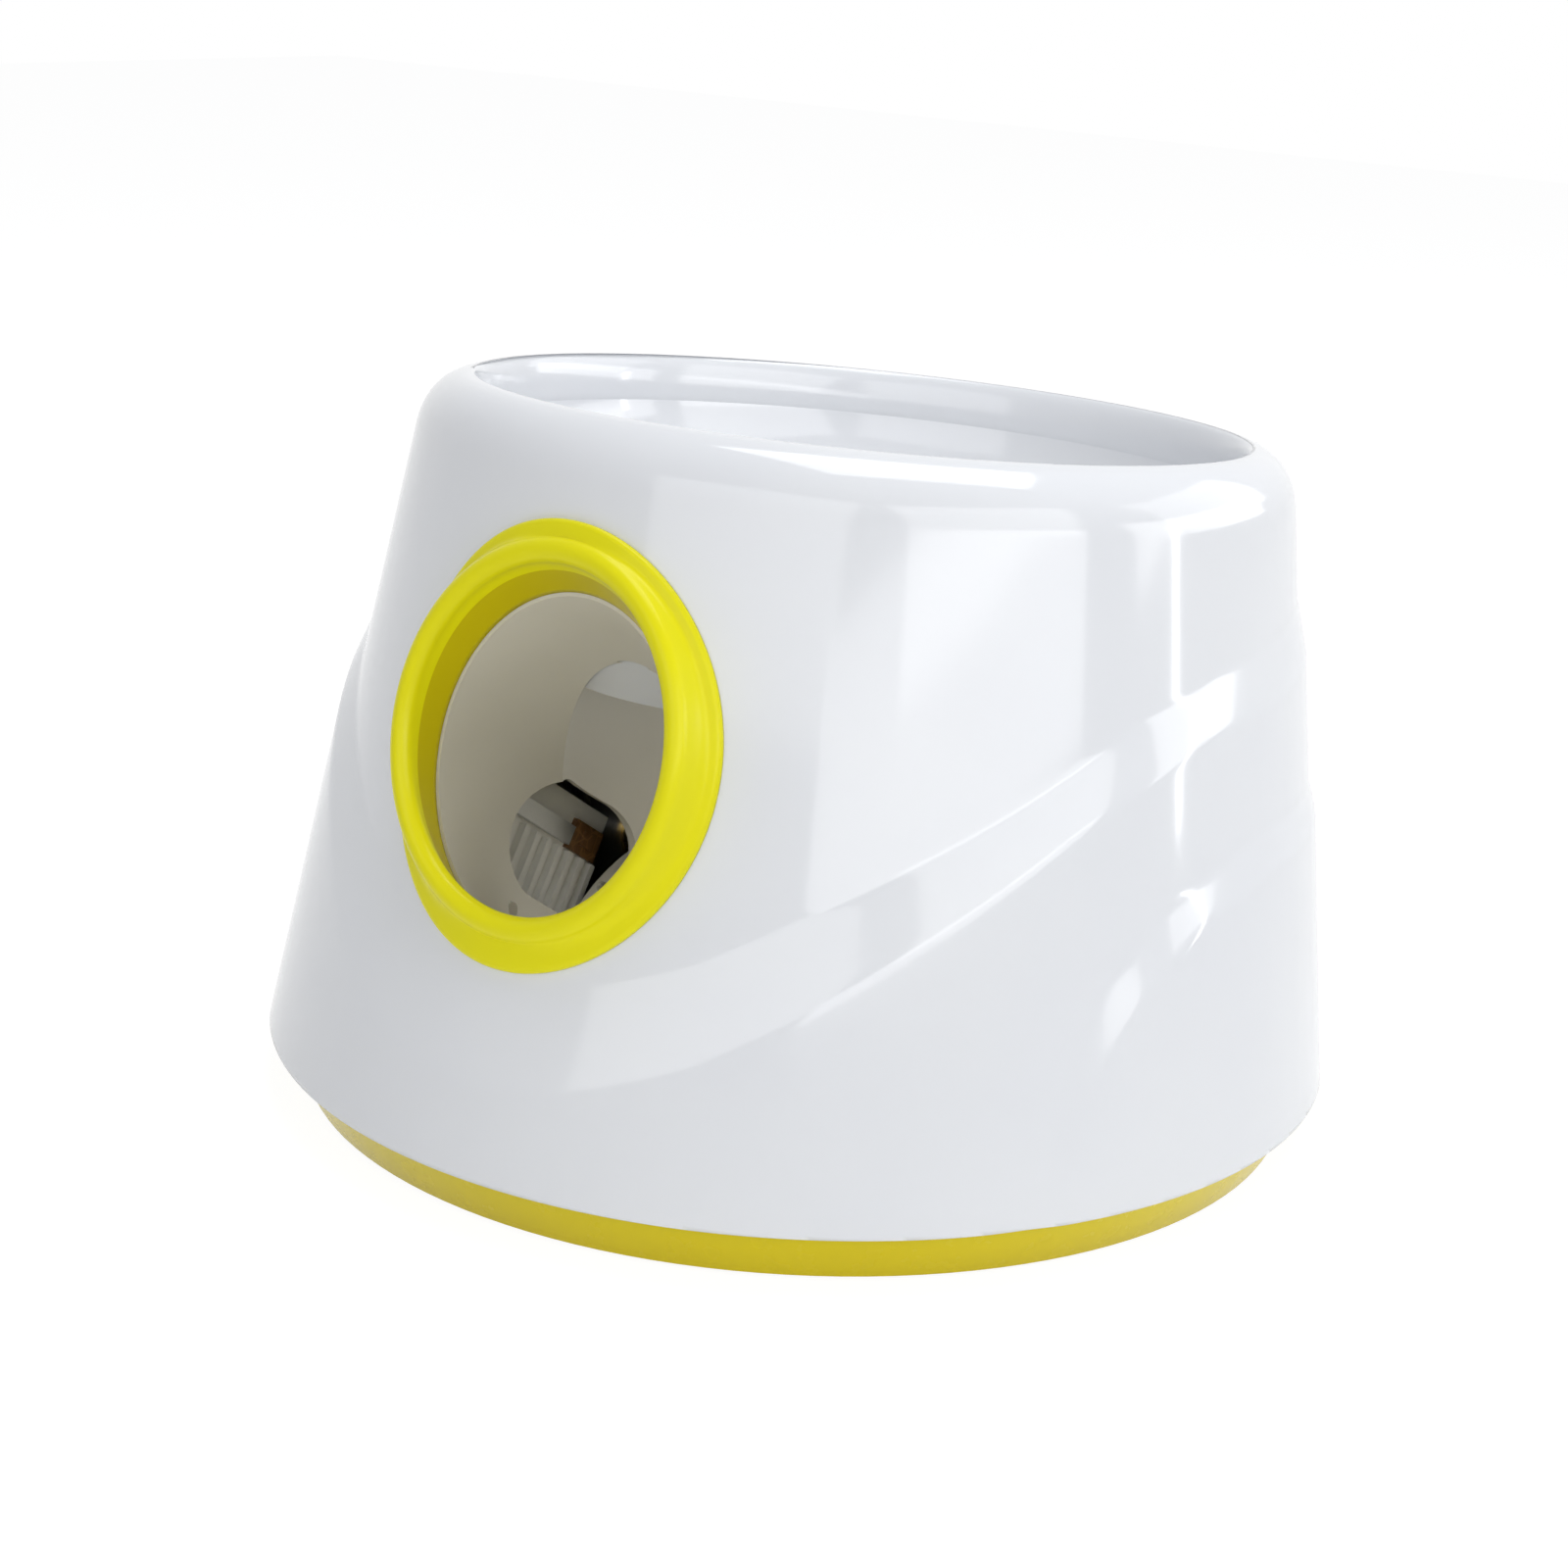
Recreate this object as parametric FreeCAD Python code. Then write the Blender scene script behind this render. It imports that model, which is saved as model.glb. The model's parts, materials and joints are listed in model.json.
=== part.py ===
import FreeCAD, Part
import math
import os

# Automatic dog ball launcher. Millimetres and degrees, +Z up, the launch port faces -Y.
# The origin is on the surface it stands on, under the middle of the foot.

V = FreeCAD.Vector
X_AXIS = V(1, 0, 0)
Y_AXIS = V(0, 1, 0)
Z_AXIS = V(0, 0, 1)

# Ball that it throws
ball_radius = 31.75

# Housing: a cone on an axis that leans back
body_radius = 143.0
widest_height = 17.0
body_lean = 4.5
body_taper = 8.78
skirt_step = 3.0
shell_wall = 3.0
rim_height = 166.7
rim_outer_round = 11.0
rim_inner_round = 5.0
rim_lip_depth = 18.0

# Sweeping edge where the lower skirt stands proud: level in front, rise to the back, half-width
sweep_top_front = 34.0
sweep_top_rise = 99.0
sweep_top_spread = 61.6
sweep_foot_front = 9.0
sweep_foot_rise = 110.0
sweep_foot_spread = 60.0

# Tray and feet, set back from the widest radius
foot_proud = 1.5
foot_radius = 8.0
foot_setback = 31.0
tray_height = 14.0
tray_foot_setback = 9.5
tray_top_setback = 2.7
tray_wall = 3.0
tray_floor = 2.5
spigot_height = 7.0
boss_setback = 21.0
boss_radius = 5.0
shell_boss_height = 40.0

# Fits
slip_gap = 0.3
seat_gap = 0.2
shaft_gap = 0.05

# Port ring
port_height = 116.5
ring_oval = 0.90
lip_inner_radius = 41.6
lip_round = 3.3
lip_step = 0.5
lip_proud = 3.9
flange_radius = 53.9
flange_thickness = 1.8
sleeve_depth = 9.0
white_edge = 0.8

# Launch chamber
launch_elevation = 45.0
tube_radius = 35.5
tube_wall = 2.2
seat_depth = 92.0
end_flange = 4.8
end_flange_thickness = 3.5
end_wall_thickness = 2.5
end_screw_angles = (-130, -50, 14, 166)
window_start = 38.0
window_end = 88.0
window_level = 7.0
window_half = 16.0
window_tilt = 12.5
front_leg_depth = 57.3
rear_leg_setback = 7.8
leg_half_width = 24.0
leg_thickness = 3.0
leg_seat = 4.5
leg_foot_half_width = 30.0
leg_foot_half_length = 6.0
leg_screw_x = 27.0
leg_foot_thickness = 2.5

# Hopper
throat_setback = 72.5
throat_rise = 10.0
throat_lean = 9.5
neck_wall = 2.1
neck_length = 8.0
hopper_wall = 2.5
hopper_top_drop = 6.7
hopper_wall_depth = 36.0
hopper_mid_setback = 9.8
hopper_flange_thickness = 2.5
hopper_flange_reach = 11.0
hopper_screw_count = 4

# Hammer
hammer_level = -3.0
hammer_reach = 38.0
hammer_head_radius = 15.0
hammer_head_length = 8.0
hammer_pad_thickness = 2.5
hammer_hole_clearance = 2.5
hammer_depth_behind = 12.0
arm_width = 14.0
arm_depth = 8.0
hub_radius = 7.0
hub_half_length = 8.0
shaft_radius = 4.0
hub_pin_radius = 1.2
buffer_size = 7.0

# Gear train
pressure_angle = 25.0
backlash = 0.16
quadrant_module = 1.5
quadrant_teeth = 36
sector_teeth = 12
sector_kept_teeth = 4
wheel_module = 1.0
wheel_teeth = 50
small_teeth = 12
fine_module = 0.8
fine_wheel_teeth = 50
motor_teeth = 12
second_gear_direction = -26.0
first_gear_direction = 12.0
motor_direction = -40.0
axle_radius = 2.5
motor_shaft_radius = 1.15
gear_side_gap = 1.0
fine_width = 5.0
wheel_width = 6.0
quadrant_width = 7.0

# Gear plates, outwards along -X from the side of the chamber
inner_plate_x = -49.0
plate_thickness = 2.5
plate_margin = 13.0
bush_wall = 2.0
bush_flange = 1.0

# Torsion springs
spring_coil_radius = 7.2
spring_wire_radius = 0.8
spring_turns = 4.0
spring_facets = 16
spring_pitch = 2.2
spring_side_gap = 1.5
spring_leg_reach = 24.0
spring_bar_radius = 3.0
spring_bar_offset = 22.0
spring_bar_direction = 28.0

# Bracket at the shaft's right-hand end
bracket_x = 26.0
bracket_thickness = 6.0

# Motor
motor_radius = 13.85
motor_length = 38.0
motor_boss_radius = 5.0
motor_boss_length = 2.0

# Rear panel and buttons
panel_height = 66.0
panel_half_width = 42.0
panel_half_height = 18.0
panel_corner = 9.0
panel_face = 2.4
panel_recess = 0.4
panel_rim = 2.5
panel_flange = 4.0
button_radius = 8.0
button_proud = 1.8
button_travel = 1.0
switch_height = 3.5
plunger_radius = 1.6
power_button_x = -22.0
distance_button_x = 0.0
lens_radius = 2.0
lens_pitch = 8.0
inlet_radius = 5.5

# Control board and battery
board_length = 62.0
board_width = 44.0
board_thickness = 1.6
board_post = 8.0
board_x = 79.0
board_y = 16.0
battery_width = 36.0
battery_length = 66.0
battery_height = 20.0
battery_x = 68.0
battery_y = -44.0

# Screws
screw_radius = 1.5
screw_head_radius = 2.8
screw_head_height = 1.8
screw_length = 9.0

taper = math.tan(math.radians(body_taper))
lean_sin = math.sin(math.radians(body_lean))
lean_cos = math.cos(math.radians(body_lean))
upper_radius = body_radius - skirt_step
inner_radius = upper_radius - shell_wall / math.cos(math.radians(body_taper))
tray_foot_radius = body_radius - tray_foot_setback
tray_top_radius = body_radius - tray_top_setback
foot_ring_radius = body_radius - foot_setback
boss_ring_radius = body_radius - boss_setback
tray_bottom = foot_proud
tray_top = foot_proud + tray_height
floor_top = tray_bottom + tray_floor
leg_foot_top = floor_top + leg_foot_thickness


def cone_reach(radius, level, side):
    """Distance forward (side -1) or back (side 1) of the leaning cone at a height above the widest level."""
    along = (level + side * radius * lean_sin) / (lean_cos + side * taper * lean_sin)
    return along * lean_sin + side * (radius - taper * along) * lean_cos


body_shift = -(cone_reach(body_radius, 0, -1) + cone_reach(body_radius, 0, 1)) / 2


def turned_frame(y, z, angle):
    """A frame at (0, y, z), turned about X."""
    return FreeCAD.Placement(V(0, y, z), FreeCAD.Rotation(X_AXIS, angle))


def cone_y(x, z, radius, side):
    """The Y of the leaning cone's surface at a given X and Z."""
    level = z - widest_height
    y = side * radius
    for _ in range(30):
        along = y * lean_sin + level * lean_cos
        across = side * math.sqrt((radius - taper * along) ** 2 - x * x)
        y = (across + level * lean_sin) / lean_cos
    return y + body_shift


body_frame = turned_frame(body_shift, widest_height, -body_lean)
port_y = cone_y(0, port_height, upper_radius, -1)
port_slope = body_taper + body_lean
port_frame = turned_frame(port_y, port_height, 90 - port_slope)
ring_outer_radius = lip_inner_radius + lip_step + 2 * lip_round
launch_slant = launch_elevation - port_slope
mouth_drop = (sleeve_depth + seat_gap) * math.tan(math.radians(launch_slant))
mouth = port_frame.multVec(V(0, -mouth_drop, -sleeve_depth - seat_gap))
launch_frame = turned_frame(mouth.y, mouth.z, 90 - launch_elevation)
throat_y = port_y + throat_setback
throat_height = port_height + throat_rise
throat_frame = turned_frame(throat_y, throat_height, -throat_lean)


def placed(shape, frame):
    """A copy of a shape that was drawn in a frame's own axes, put in its place."""
    moved = shape.copy()
    moved.Placement = frame.multiply(moved.Placement)
    return moved


def box(x_span, y_span, z_span):
    corner = V(x_span[0], y_span[0], z_span[0])
    return Part.makeBox(x_span[1] - x_span[0], y_span[1] - y_span[0], z_span[1] - z_span[0], corner)


def post(radius, z_span, x=0, y=0):
    """An upright cylinder."""
    return Part.makeCylinder(radius, z_span[1] - z_span[0], V(x, y, z_span[0]), Z_AXIS)


def bar(radius, x_span, y, z):
    """A cylinder along X."""
    return Part.makeCylinder(radius, x_span[1] - x_span[0], V(x_span[0], y, z), X_AXIS)


def rod(radius, y_span, x, z):
    """A cylinder along Y."""
    return Part.makeCylinder(radius, y_span[1] - y_span[0], V(x, y_span[0], z), Y_AXIS)


def joined(*shapes):
    result = shapes[0]
    if len(shapes) > 1:
        result = result.multiFuse(list(shapes[1:]))
    return result.removeSplitter()


def without(shape, *tools):
    """What is left of a shape after the tools are taken from it."""
    result = shape.cut(list(tools))
    if len(result.Solids) == 1:
        return result.Solids[0]
    return result


def group(shapes):
    return Part.makeCompound(shapes)


def cone_radius(radius, along):
    return radius - taper * along


def cone_solid(radius, low, high):
    """Part of the leaning cone between two heights along its axis, in place."""
    shape = Part.makeCone(cone_radius(radius, low), cone_radius(radius, high), high - low, V(0, 0, low), Z_AXIS)
    return placed(shape, body_frame)


def slab_below(height):
    reach = 2 * body_radius
    return box((-reach, reach), (-reach, reach), (-reach, height))


def slab_above(height):
    reach = 2 * body_radius
    return box((-reach, reach), (-reach, reach), (height, 2 * reach))


def revolved(edges):
    """A solid of revolution about Z from a closed outline in the XZ plane."""
    return Part.Face(Part.Wire(edges)).revolve(V(0, 0, 0), Z_AXIS, 360)


def line(start, end):
    return Part.LineSegment(V(start[0], 0, start[1]), V(end[0], 0, end[1])).toShape()


def arc(centre, radius, start, end):
    """An arc in the XZ plane between two directions in degrees."""
    points = []
    for angle in (start, (start + end) / 2, end):
        turn = math.radians(angle)
        points.append(V(centre[0] + radius * math.cos(turn), 0, centre[1] + radius * math.sin(turn)))
    return Part.Arc(*points).toShape()


def on_circle(centre, radius, angle):
    turn = math.radians(angle)
    return centre[0] + radius * math.cos(turn), centre[1] + radius * math.sin(turn)


# ---------- housing ----------

rim_centre_height = rim_height - rim_outer_round
taper_cos = math.cos(math.radians(body_taper))
rim_radius = cone_radius(upper_radius, rim_centre_height) - rim_outer_round / taper_cos
lip_radius = rim_radius - rim_inner_round
hopper_mid_radius = lip_radius - hopper_mid_setback
lip_bottom = rim_height - rim_lip_depth
shell_start = -2 * tray_height


def shell_outline():
    outer = (rim_radius, rim_centre_height)
    inner = (rim_radius, rim_height - rim_inner_round)
    wall_in = shell_wall / taper_cos
    low_out = (cone_radius(upper_radius, shell_start), shell_start)
    low_in = (low_out[0] - wall_in, shell_start)
    lip_out = (lip_radius, lip_bottom)
    lip_in = (lip_radius + shell_wall, lip_bottom)
    small = rim_inner_round - shell_wall
    large = rim_outer_round - shell_wall
    return [
        line(low_out, on_circle(outer, rim_outer_round, body_taper)),
        arc(outer, rim_outer_round, body_taper, 90),
        arc(inner, rim_inner_round, 90, 180),
        line(on_circle(inner, rim_inner_round, 180), lip_out),
        line(lip_out, lip_in),
        line(lip_in, on_circle(inner, small, 180)),
        arc(inner, small, 180, 90),
        arc(outer, large, 90, body_taper),
        line(on_circle(outer, large, body_taper), low_in),
        line(low_in, low_out),
    ]


def sweep_level(angle, front, rise, spread):
    """Height of a sweeping edge at an angle from the port: a dip in front that eases out to the back."""
    return front + rise * (1 - math.exp(-((angle / spread) ** 2)))


def closed_curve(points):
    curve = Part.BSplineCurve()
    curve.interpolate(Points=points, PeriodicFlag=True)
    return curve.toShape()


def below_sweep():
    """Everything under the slanting ledge that joins the recessed upper wall to the skirt."""
    count = 48
    overrun = 0.6
    inside = []
    outside = []
    for step in range(count):
        angle = 360.0 * step / count
        away = abs((angle + 90 + 180) % 360 - 180)
        top = sweep_level(away, sweep_top_front, sweep_top_rise, sweep_top_spread)
        foot = sweep_level(away, sweep_foot_front, sweep_foot_rise, sweep_foot_spread)
        top_radius = cone_radius(upper_radius, top)
        foot_radius_here = cone_radius(body_radius, foot)
        step_r = overrun * (top_radius - foot_radius_here)
        step_z = overrun * (top - foot)
        turn = math.radians(angle)
        way = V(math.cos(turn), math.sin(turn), 0)
        inside.append(way * (top_radius + step_r) + V(0, 0, top + step_z))
        outside.append(way * (foot_radius_here - step_r) + V(0, 0, foot - step_z))
    inner = closed_curve(inside)
    outer = closed_curve(outside)
    low = 2 * shell_start
    low_inner = Part.Circle(V(0, 0, low), Z_AXIS, body_radius / 2).toShape()
    low_outer = Part.Circle(V(0, 0, low), Z_AXIS, body_radius * 1.3).toShape()
    faces = [
        Part.makeRuledSurface(inner, outer),
        Part.makeRuledSurface(outer, low_outer),
        Part.makeRuledSurface(inner, low_inner),
        Part.makeFace([Part.Wire(low_outer), Part.Wire(low_inner)], "Part::FaceMakerBullseye"),
    ]
    shell = Part.makeShell(faces)
    shell.sewShape()
    return Part.makeSolid(shell)


def boss_spots():
    spots = []
    for angle in (45, 135, 225, 315):
        turn = math.radians(angle)
        spots.append((boss_ring_radius * math.cos(turn), boss_ring_radius * math.sin(turn)))
    return spots


def hopper_screw_spots():
    spots = []
    radius = lip_radius + shell_wall + boss_radius - 1 - 0.8
    for step in range(hopper_screw_count):
        turn = math.radians(45 + 360.0 * step / hopper_screw_count)
        spots.append((radius * math.cos(turn), radius * math.sin(turn)))
    return spots


def port_oval(radius, z_span):
    """An oval plug along the port's own axis."""
    side = V(-radius * ring_oval, 0, z_span[0])
    oval = Part.Ellipse(V(0, radius, z_span[0]), side, V(0, 0, z_span[0])).toShape()
    plug = Part.Face(Part.Wire(oval)).extrude(V(0, 0, z_span[1] - z_span[0]))
    return placed(plug, port_frame)


def panel_prism(margin, y_span):
    """The rear panel's rounded outline, carried along Y."""
    half_x = panel_half_width + margin
    half_z = panel_half_height + margin
    round_here = panel_corner + margin
    solid = box((-half_x, half_x), y_span, (panel_height - half_z, panel_height + half_z))
    upright = [edge for edge in solid.Edges if abs(edge.tangentAt(edge.FirstParameter).y) > 0.9]
    return solid.makeFillet(round_here, upright)


def outer_shell():
    shell = placed(revolved(shell_outline()), body_frame)
    skirt_top = sweep_top_front + sweep_top_rise + 2 * skirt_step
    skirt = cone_solid(body_radius, shell_start, skirt_top).cut(
        cone_solid(upper_radius - shell_wall / 2, shell_start - 1, skirt_top + 1))
    skirt = skirt.common(placed(below_sweep(), body_frame))
    shell = joined(shell, skirt)
    cavity = cone_solid(inner_radius, shell_start - 1, rim_centre_height - rim_outer_round)
    bosses = []
    for x, y in boss_spots():
        away = math.hypot(x, y)
        column = post(boss_radius, (tray_top, tray_top + shell_boss_height), x, y)
        rib = box((away, body_radius + 5), (-1.2, 1.2), (tray_top, tray_top + shell_boss_height))
        rib.rotate(V(0, 0, 0), Z_AXIS, math.degrees(math.atan2(y, x)))
        boss = column.fuse(rib).common(cone_solid(upper_radius - 1, shell_start, rim_height))
        bosses.append(boss.cut(post(screw_radius, (0, tray_top + shell_boss_height - 5), x, y)))
    lip_bosses = []
    for x, y in hopper_screw_spots():
        column = post(boss_radius - 1, (lip_bottom, rim_height - rim_inner_round), x, y)
        column = column.cut(post(screw_radius, (lip_bottom - 1, lip_bottom + screw_length), x, y))
        lip_bosses.append(placed(column, body_frame))
    shell = joined(shell, *(bosses + lip_bosses))
    hole = port_oval(ring_outer_radius + slip_gap, (-6 * shell_wall, 6 * shell_wall))
    window = panel_prism(0, (body_radius / 2, body_radius * 1.2))
    shell = without(shell, slab_below(tray_top), hole, window)
    spigot_zone = slab_below(tray_top + spigot_height).common(cavity)
    keep_out = spigot_zone.cut(cone_solid(inner_radius - tray_wall - 1, shell_start - 1, rim_height))
    return without(shell, keep_out)


# ---------- port ring ----------

def ellipse_wire(half_x, half_y, centre_y, z):
    """An oval in the port's frame, squeezed from a circle so that every such oval starts at the same side."""
    circle = Part.Wire(Part.Circle(V(0, 0, 0), Z_AXIS, half_y).toShape())
    squeeze = FreeCAD.Matrix()
    squeeze.scale(half_x / half_y, 1, 1)
    oval = circle.transformGeometry(squeeze)
    oval.translate(V(0, centre_y, z))
    return oval


def ring_bore():
    """From the lip's inner edge, slanting down to just outside the tube's inner edge."""
    end_half = (tube_radius + white_edge) / math.cos(math.radians(launch_slant))
    front = ellipse_wire(lip_inner_radius * ring_oval, lip_inner_radius, 0, 0)
    back = ellipse_wire(tube_radius + white_edge, end_half, -mouth_drop, -sleeve_depth - seat_gap)
    nose = ellipse_wire(lip_inner_radius * ring_oval, lip_inner_radius, 0, 2 * lip_proud)
    lower = Part.makeLoft([back, front], True, True)
    upper = Part.makeLoft([front, nose], True, True)
    return lower, upper


def port_ring():
    centre = (lip_inner_radius + lip_step + lip_round, lip_proud - lip_round)
    inner_side = centre[0] - lip_round
    within = tube_radius * 0.9
    section = [
        line((within, -sleeve_depth), (ring_outer_radius, -sleeve_depth)),
        line((ring_outer_radius, -sleeve_depth), (ring_outer_radius, centre[1])),
        arc(centre, lip_round, 0, 180),
        line((inner_side, centre[1]), (within, centre[1] - 4)),
        line((within, centre[1] - 4), (within, -sleeve_depth)),
    ]
    squeeze = FreeCAD.Matrix()
    squeeze.scale(ring_oval, 1, 1)
    lip = revolved(section).transformGeometry(squeeze)
    lower, upper = ring_bore()
    lip = placed(lip.cut([lower, upper]), port_frame)
    skin = cone_solid(upper_radius + flange_thickness, 0, rim_height).cut(cone_solid(upper_radius, -1, rim_height))
    flange = skin.common(port_oval(flange_radius, (-8 * flange_thickness, 4 * flange_thickness)))
    inside = placed(group([lower]), port_frame).Solids[0]
    skirt = placed(below_sweep(), body_frame).common(cone_solid(body_radius, shell_start, rim_height))
    flange = flange.cut([inside, port_oval(lip_inner_radius, (-1, 8 * lip_proud)), skirt])
    return lip.fuse(flange).Solids[0]


# ---------- chamber ----------

tube_outer = tube_radius + tube_wall


def launch_post(radius, depth_span, x=0, level=0):
    """A cylinder along the launch axis, between two depths behind the mouth."""
    return placed(post(radius, (-depth_span[1], -depth_span[0]), x, level), launch_frame)


def launch_box(x_span, level_span, depth_span):
    return placed(box(x_span, level_span, (-depth_span[1], -depth_span[0])), launch_frame)


def chute_post(radius, low, high):
    return placed(post(radius, (low, high)), throat_frame)


def launch_point(level, depth):
    return launch_frame.multVec(V(0, level, -depth))


chute_top = -hopper_wall - 1.5
chute_bottom = -90.0
pivot = launch_point(hammer_level + hammer_reach, seat_depth + hammer_depth_behind)


def chamber_body(margin):
    """The slanting tube and the chute that drops into it, as one solid, grown by a margin."""
    radius = tube_radius + margin
    tube = launch_post(radius, (-2 * tube_outer, seat_depth))
    chute = chute_post(radius, chute_bottom, chute_top)
    upper_half = launch_box((-2 * radius, 2 * radius), (0, 6 * radius), (-4 * radius, seat_depth))
    return tube.fuse(chute.common(upper_half))


def seat_slab(start, end):
    reach = 2 * tube_outer
    return launch_box((-reach, reach), (-reach, reach), (start, end))


def end_profile(start, end):
    """A slice of the chamber with its flange, between two depths."""
    radius = tube_outer + end_flange
    tube = launch_post(radius, (start, end))
    chute = chute_post(radius, chute_bottom, throat_height)
    upper_half = launch_box((-2 * radius, 2 * radius), (0, 1.25 * tube_outer), (start, end))
    return tube.fuse(chute.common(upper_half))


def end_screw_spots():
    radius = tube_outer + end_flange / 2
    spots = []
    for angle in end_screw_angles:
        turn = math.radians(angle)
        spots.append((radius * math.cos(turn), radius * math.sin(turn)))
    return spots


guard_inner_x = -(tube_outer + end_flange + 2.2)
guard_rib = 2.2
guard_plate = 1.6
guard_outer_x = guard_inner_x - guard_rib - guard_plate
guard_bar_level = window_level + 6.0
guard_low_level = window_level - window_half
guard_screw_spots = ((guard_bar_level, window_start - 9), (guard_low_level - 5, window_end - 8))
window_middle = V(0, window_level, -(window_start + window_end) / 2)
window_turn = FreeCAD.Placement(V(0, 0, 0), FreeCAD.Rotation(X_AXIS, window_tilt), window_middle)
guard_frame = launch_frame.multiply(window_turn)
sensor_level = -19.0
sensor_depth = 50.0
sensor_collar = 3.4


def window_cut():
    """The long round-ended window in the chamber's left wall."""
    x_span = (-2 * tube_outer, -tube_radius / 2)
    start = window_start + window_half
    end = window_end - window_half
    middle = box(x_span, (window_level - window_half, window_level + window_half), (-end, -start))
    ends = []
    for depth in (start, end):
        ends.append(bar(window_half, x_span, window_level, -depth))
    return placed(middle.multiFuse(ends), guard_frame)


def leg_tops():
    """Where each leg meets the underside of the tube."""
    depths = (front_leg_depth, seat_depth - rear_leg_setback)
    return [launch_point(-tube_outer, depth) for depth in depths]


def chamber_legs(hollow):
    legs = []
    for top in leg_tops():
        half = leg_thickness / 2
        web = box((-leg_half_width, leg_half_width), (top.y - half, top.y + half), (floor_top, top.z + leg_seat))
        foot = box((-leg_foot_half_width, leg_foot_half_width),
                   (top.y - leg_foot_half_length, top.y + leg_foot_half_length), (floor_top, leg_foot_top))
        foot = foot.cut([post(screw_radius, (0, 2 * leg_foot_top), side * leg_screw_x, top.y) for side in (-1, 1)])
        legs.append(web.cut(hollow).fuse(foot))
    return legs


def leg_screw_spots():
    return [(side * leg_screw_x, top.y) for side in (-1, 1) for top in leg_tops()]


def launch_chamber():
    outer = chamber_body(tube_wall)
    flange = end_profile(seat_depth - end_flange_thickness, seat_depth)
    bosses = []
    for level, depth in guard_screw_spots:
        bosses.append(placed(bar(4.0, (guard_inner_x, -tube_radius / 2), level, -depth), guard_frame))
    body = joined(outer, flange, *(bosses + chamber_legs(outer)))
    inner = chamber_body(0)
    through = launch_post(tube_radius, (0, seat_depth + 1))
    chute_end = end_hollow(seat_depth - end_flange_thickness - 1, seat_depth + 1)
    neck_way = chute_post(tube_radius, chute_top - 1, neck_length)
    cuts = [inner, through, chute_end, window_cut(), hopper_outside(2 * slip_gap), neck_way]
    for x, level in end_screw_spots():
        cuts.append(launch_post(screw_radius, (seat_depth - 2 * end_flange_thickness, seat_depth + 1), x, level))
    for level, depth in guard_screw_spots:
        span = (guard_inner_x - 1, guard_inner_x + screw_length - 2)
        cuts.append(placed(bar(screw_radius, span, level, -depth), guard_frame))
    hole = bar(2.6, (-2 * tube_outer, 2 * tube_outer), sensor_level, -sensor_depth)
    cuts.append(placed(hole, launch_frame))
    front = placed(box((-200, 200), (-200, 200), (-sleeve_depth - seat_gap, 200)), port_frame)
    cuts.append(front)
    return without(body, *cuts)


def end_hollow(start, end):
    """The inside of the chute where it runs out through the seat's plane."""
    chute = chute_post(tube_radius, chute_bottom, throat_height)
    upper_half = launch_box((-2 * tube_radius, 2 * tube_radius), (0, 2 * tube_outer), (start, end))
    return chute.common(upper_half)


def end_wall():
    start = seat_depth
    end = seat_depth + end_wall_thickness
    plate = end_profile(start, end)
    cuts = [launch_post(hammer_head_radius + hammer_hole_clearance, (start - 1, end + 1), 0, hammer_level)]
    for x, level in end_screw_spots():
        cuts.append(launch_post(screw_radius, (start - 1, end + 1), x, level))
    return without(plate, *cuts)


def screw(tip, head, frame=None):
    """A pan-head screw from its tip to the underside of its head."""
    way = head - tip
    length = way.Length
    way.normalize()
    shank = Part.makeCylinder(screw_radius, length, tip, way)
    cap = Part.makeCylinder(screw_head_radius, screw_head_height, head, way)
    slot = Part.makeBox(2 * screw_head_radius, 0.7, 0.8)
    slot.translate(V(-screw_head_radius, -0.35, 0))
    slot.Placement = FreeCAD.Placement(head + way * (screw_head_height - 0.7), FreeCAD.Rotation(Z_AXIS, way))
    slot_cut = slot.copy()
    shape = shank.fuse(cap).removeSplitter().cut(slot_cut)
    if frame:
        shape = placed(shape, frame)
    return shape


def end_wall_screws():
    shapes = []
    for x, level in end_screw_spots():
        head = V(x, level, -seat_depth - end_wall_thickness)
        shapes.append(screw(head + V(0, 0, end_wall_thickness + end_flange_thickness - 1), head, launch_frame))
    return group(shapes)


def leg_screws():
    shapes = []
    for x, y in leg_screw_spots():
        shapes.append(screw(V(x, y, tray_bottom + 0.5), V(x, y, leg_foot_top)))
    return group(shapes)


def side_guard():
    plate_levels = (guard_low_level - 9, window_level + window_half)
    plate = box((guard_outer_x, guard_outer_x + guard_plate), plate_levels, (-window_end - 3, -window_start + 13))
    rib_x = (guard_outer_x + guard_plate, guard_inner_x)
    ribs = []
    pitch = 5.5
    count = int((window_end - window_start) / pitch) + 1
    for step in range(count):
        depth = window_start + 1 + pitch * step
        ribs.append(box(rib_x, (guard_low_level - 1, guard_bar_level - 4), (-depth - 2, -depth)))
    rail = box(rib_x, (guard_low_level - 3, guard_low_level - 1), (-window_end, -window_start))
    solid = joined(plate, rail, *ribs)
    near_ear = guard_screw_spots[1]
    pad = bar(4.0, (guard_outer_x + guard_plate, guard_inner_x), near_ear[0], -near_ear[1])
    solid = joined(solid, pad)
    cuts = []
    for level, depth in guard_screw_spots:
        cuts.append(bar(screw_radius, (guard_outer_x - 1, guard_inner_x + 1), level, -depth))
    return placed(without(solid, *cuts), guard_frame)


def guard_bar():
    level, depth = guard_screw_spots[0]
    start = depth - 5
    solid = box((guard_outer_x + guard_plate, guard_inner_x), (level - 2.6, level + 2.6), (-window_end + 12, -start))
    solid = solid.cut(bar(screw_radius, (guard_outer_x, guard_inner_x + 1), level, -depth))
    return placed(solid, guard_frame)


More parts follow.
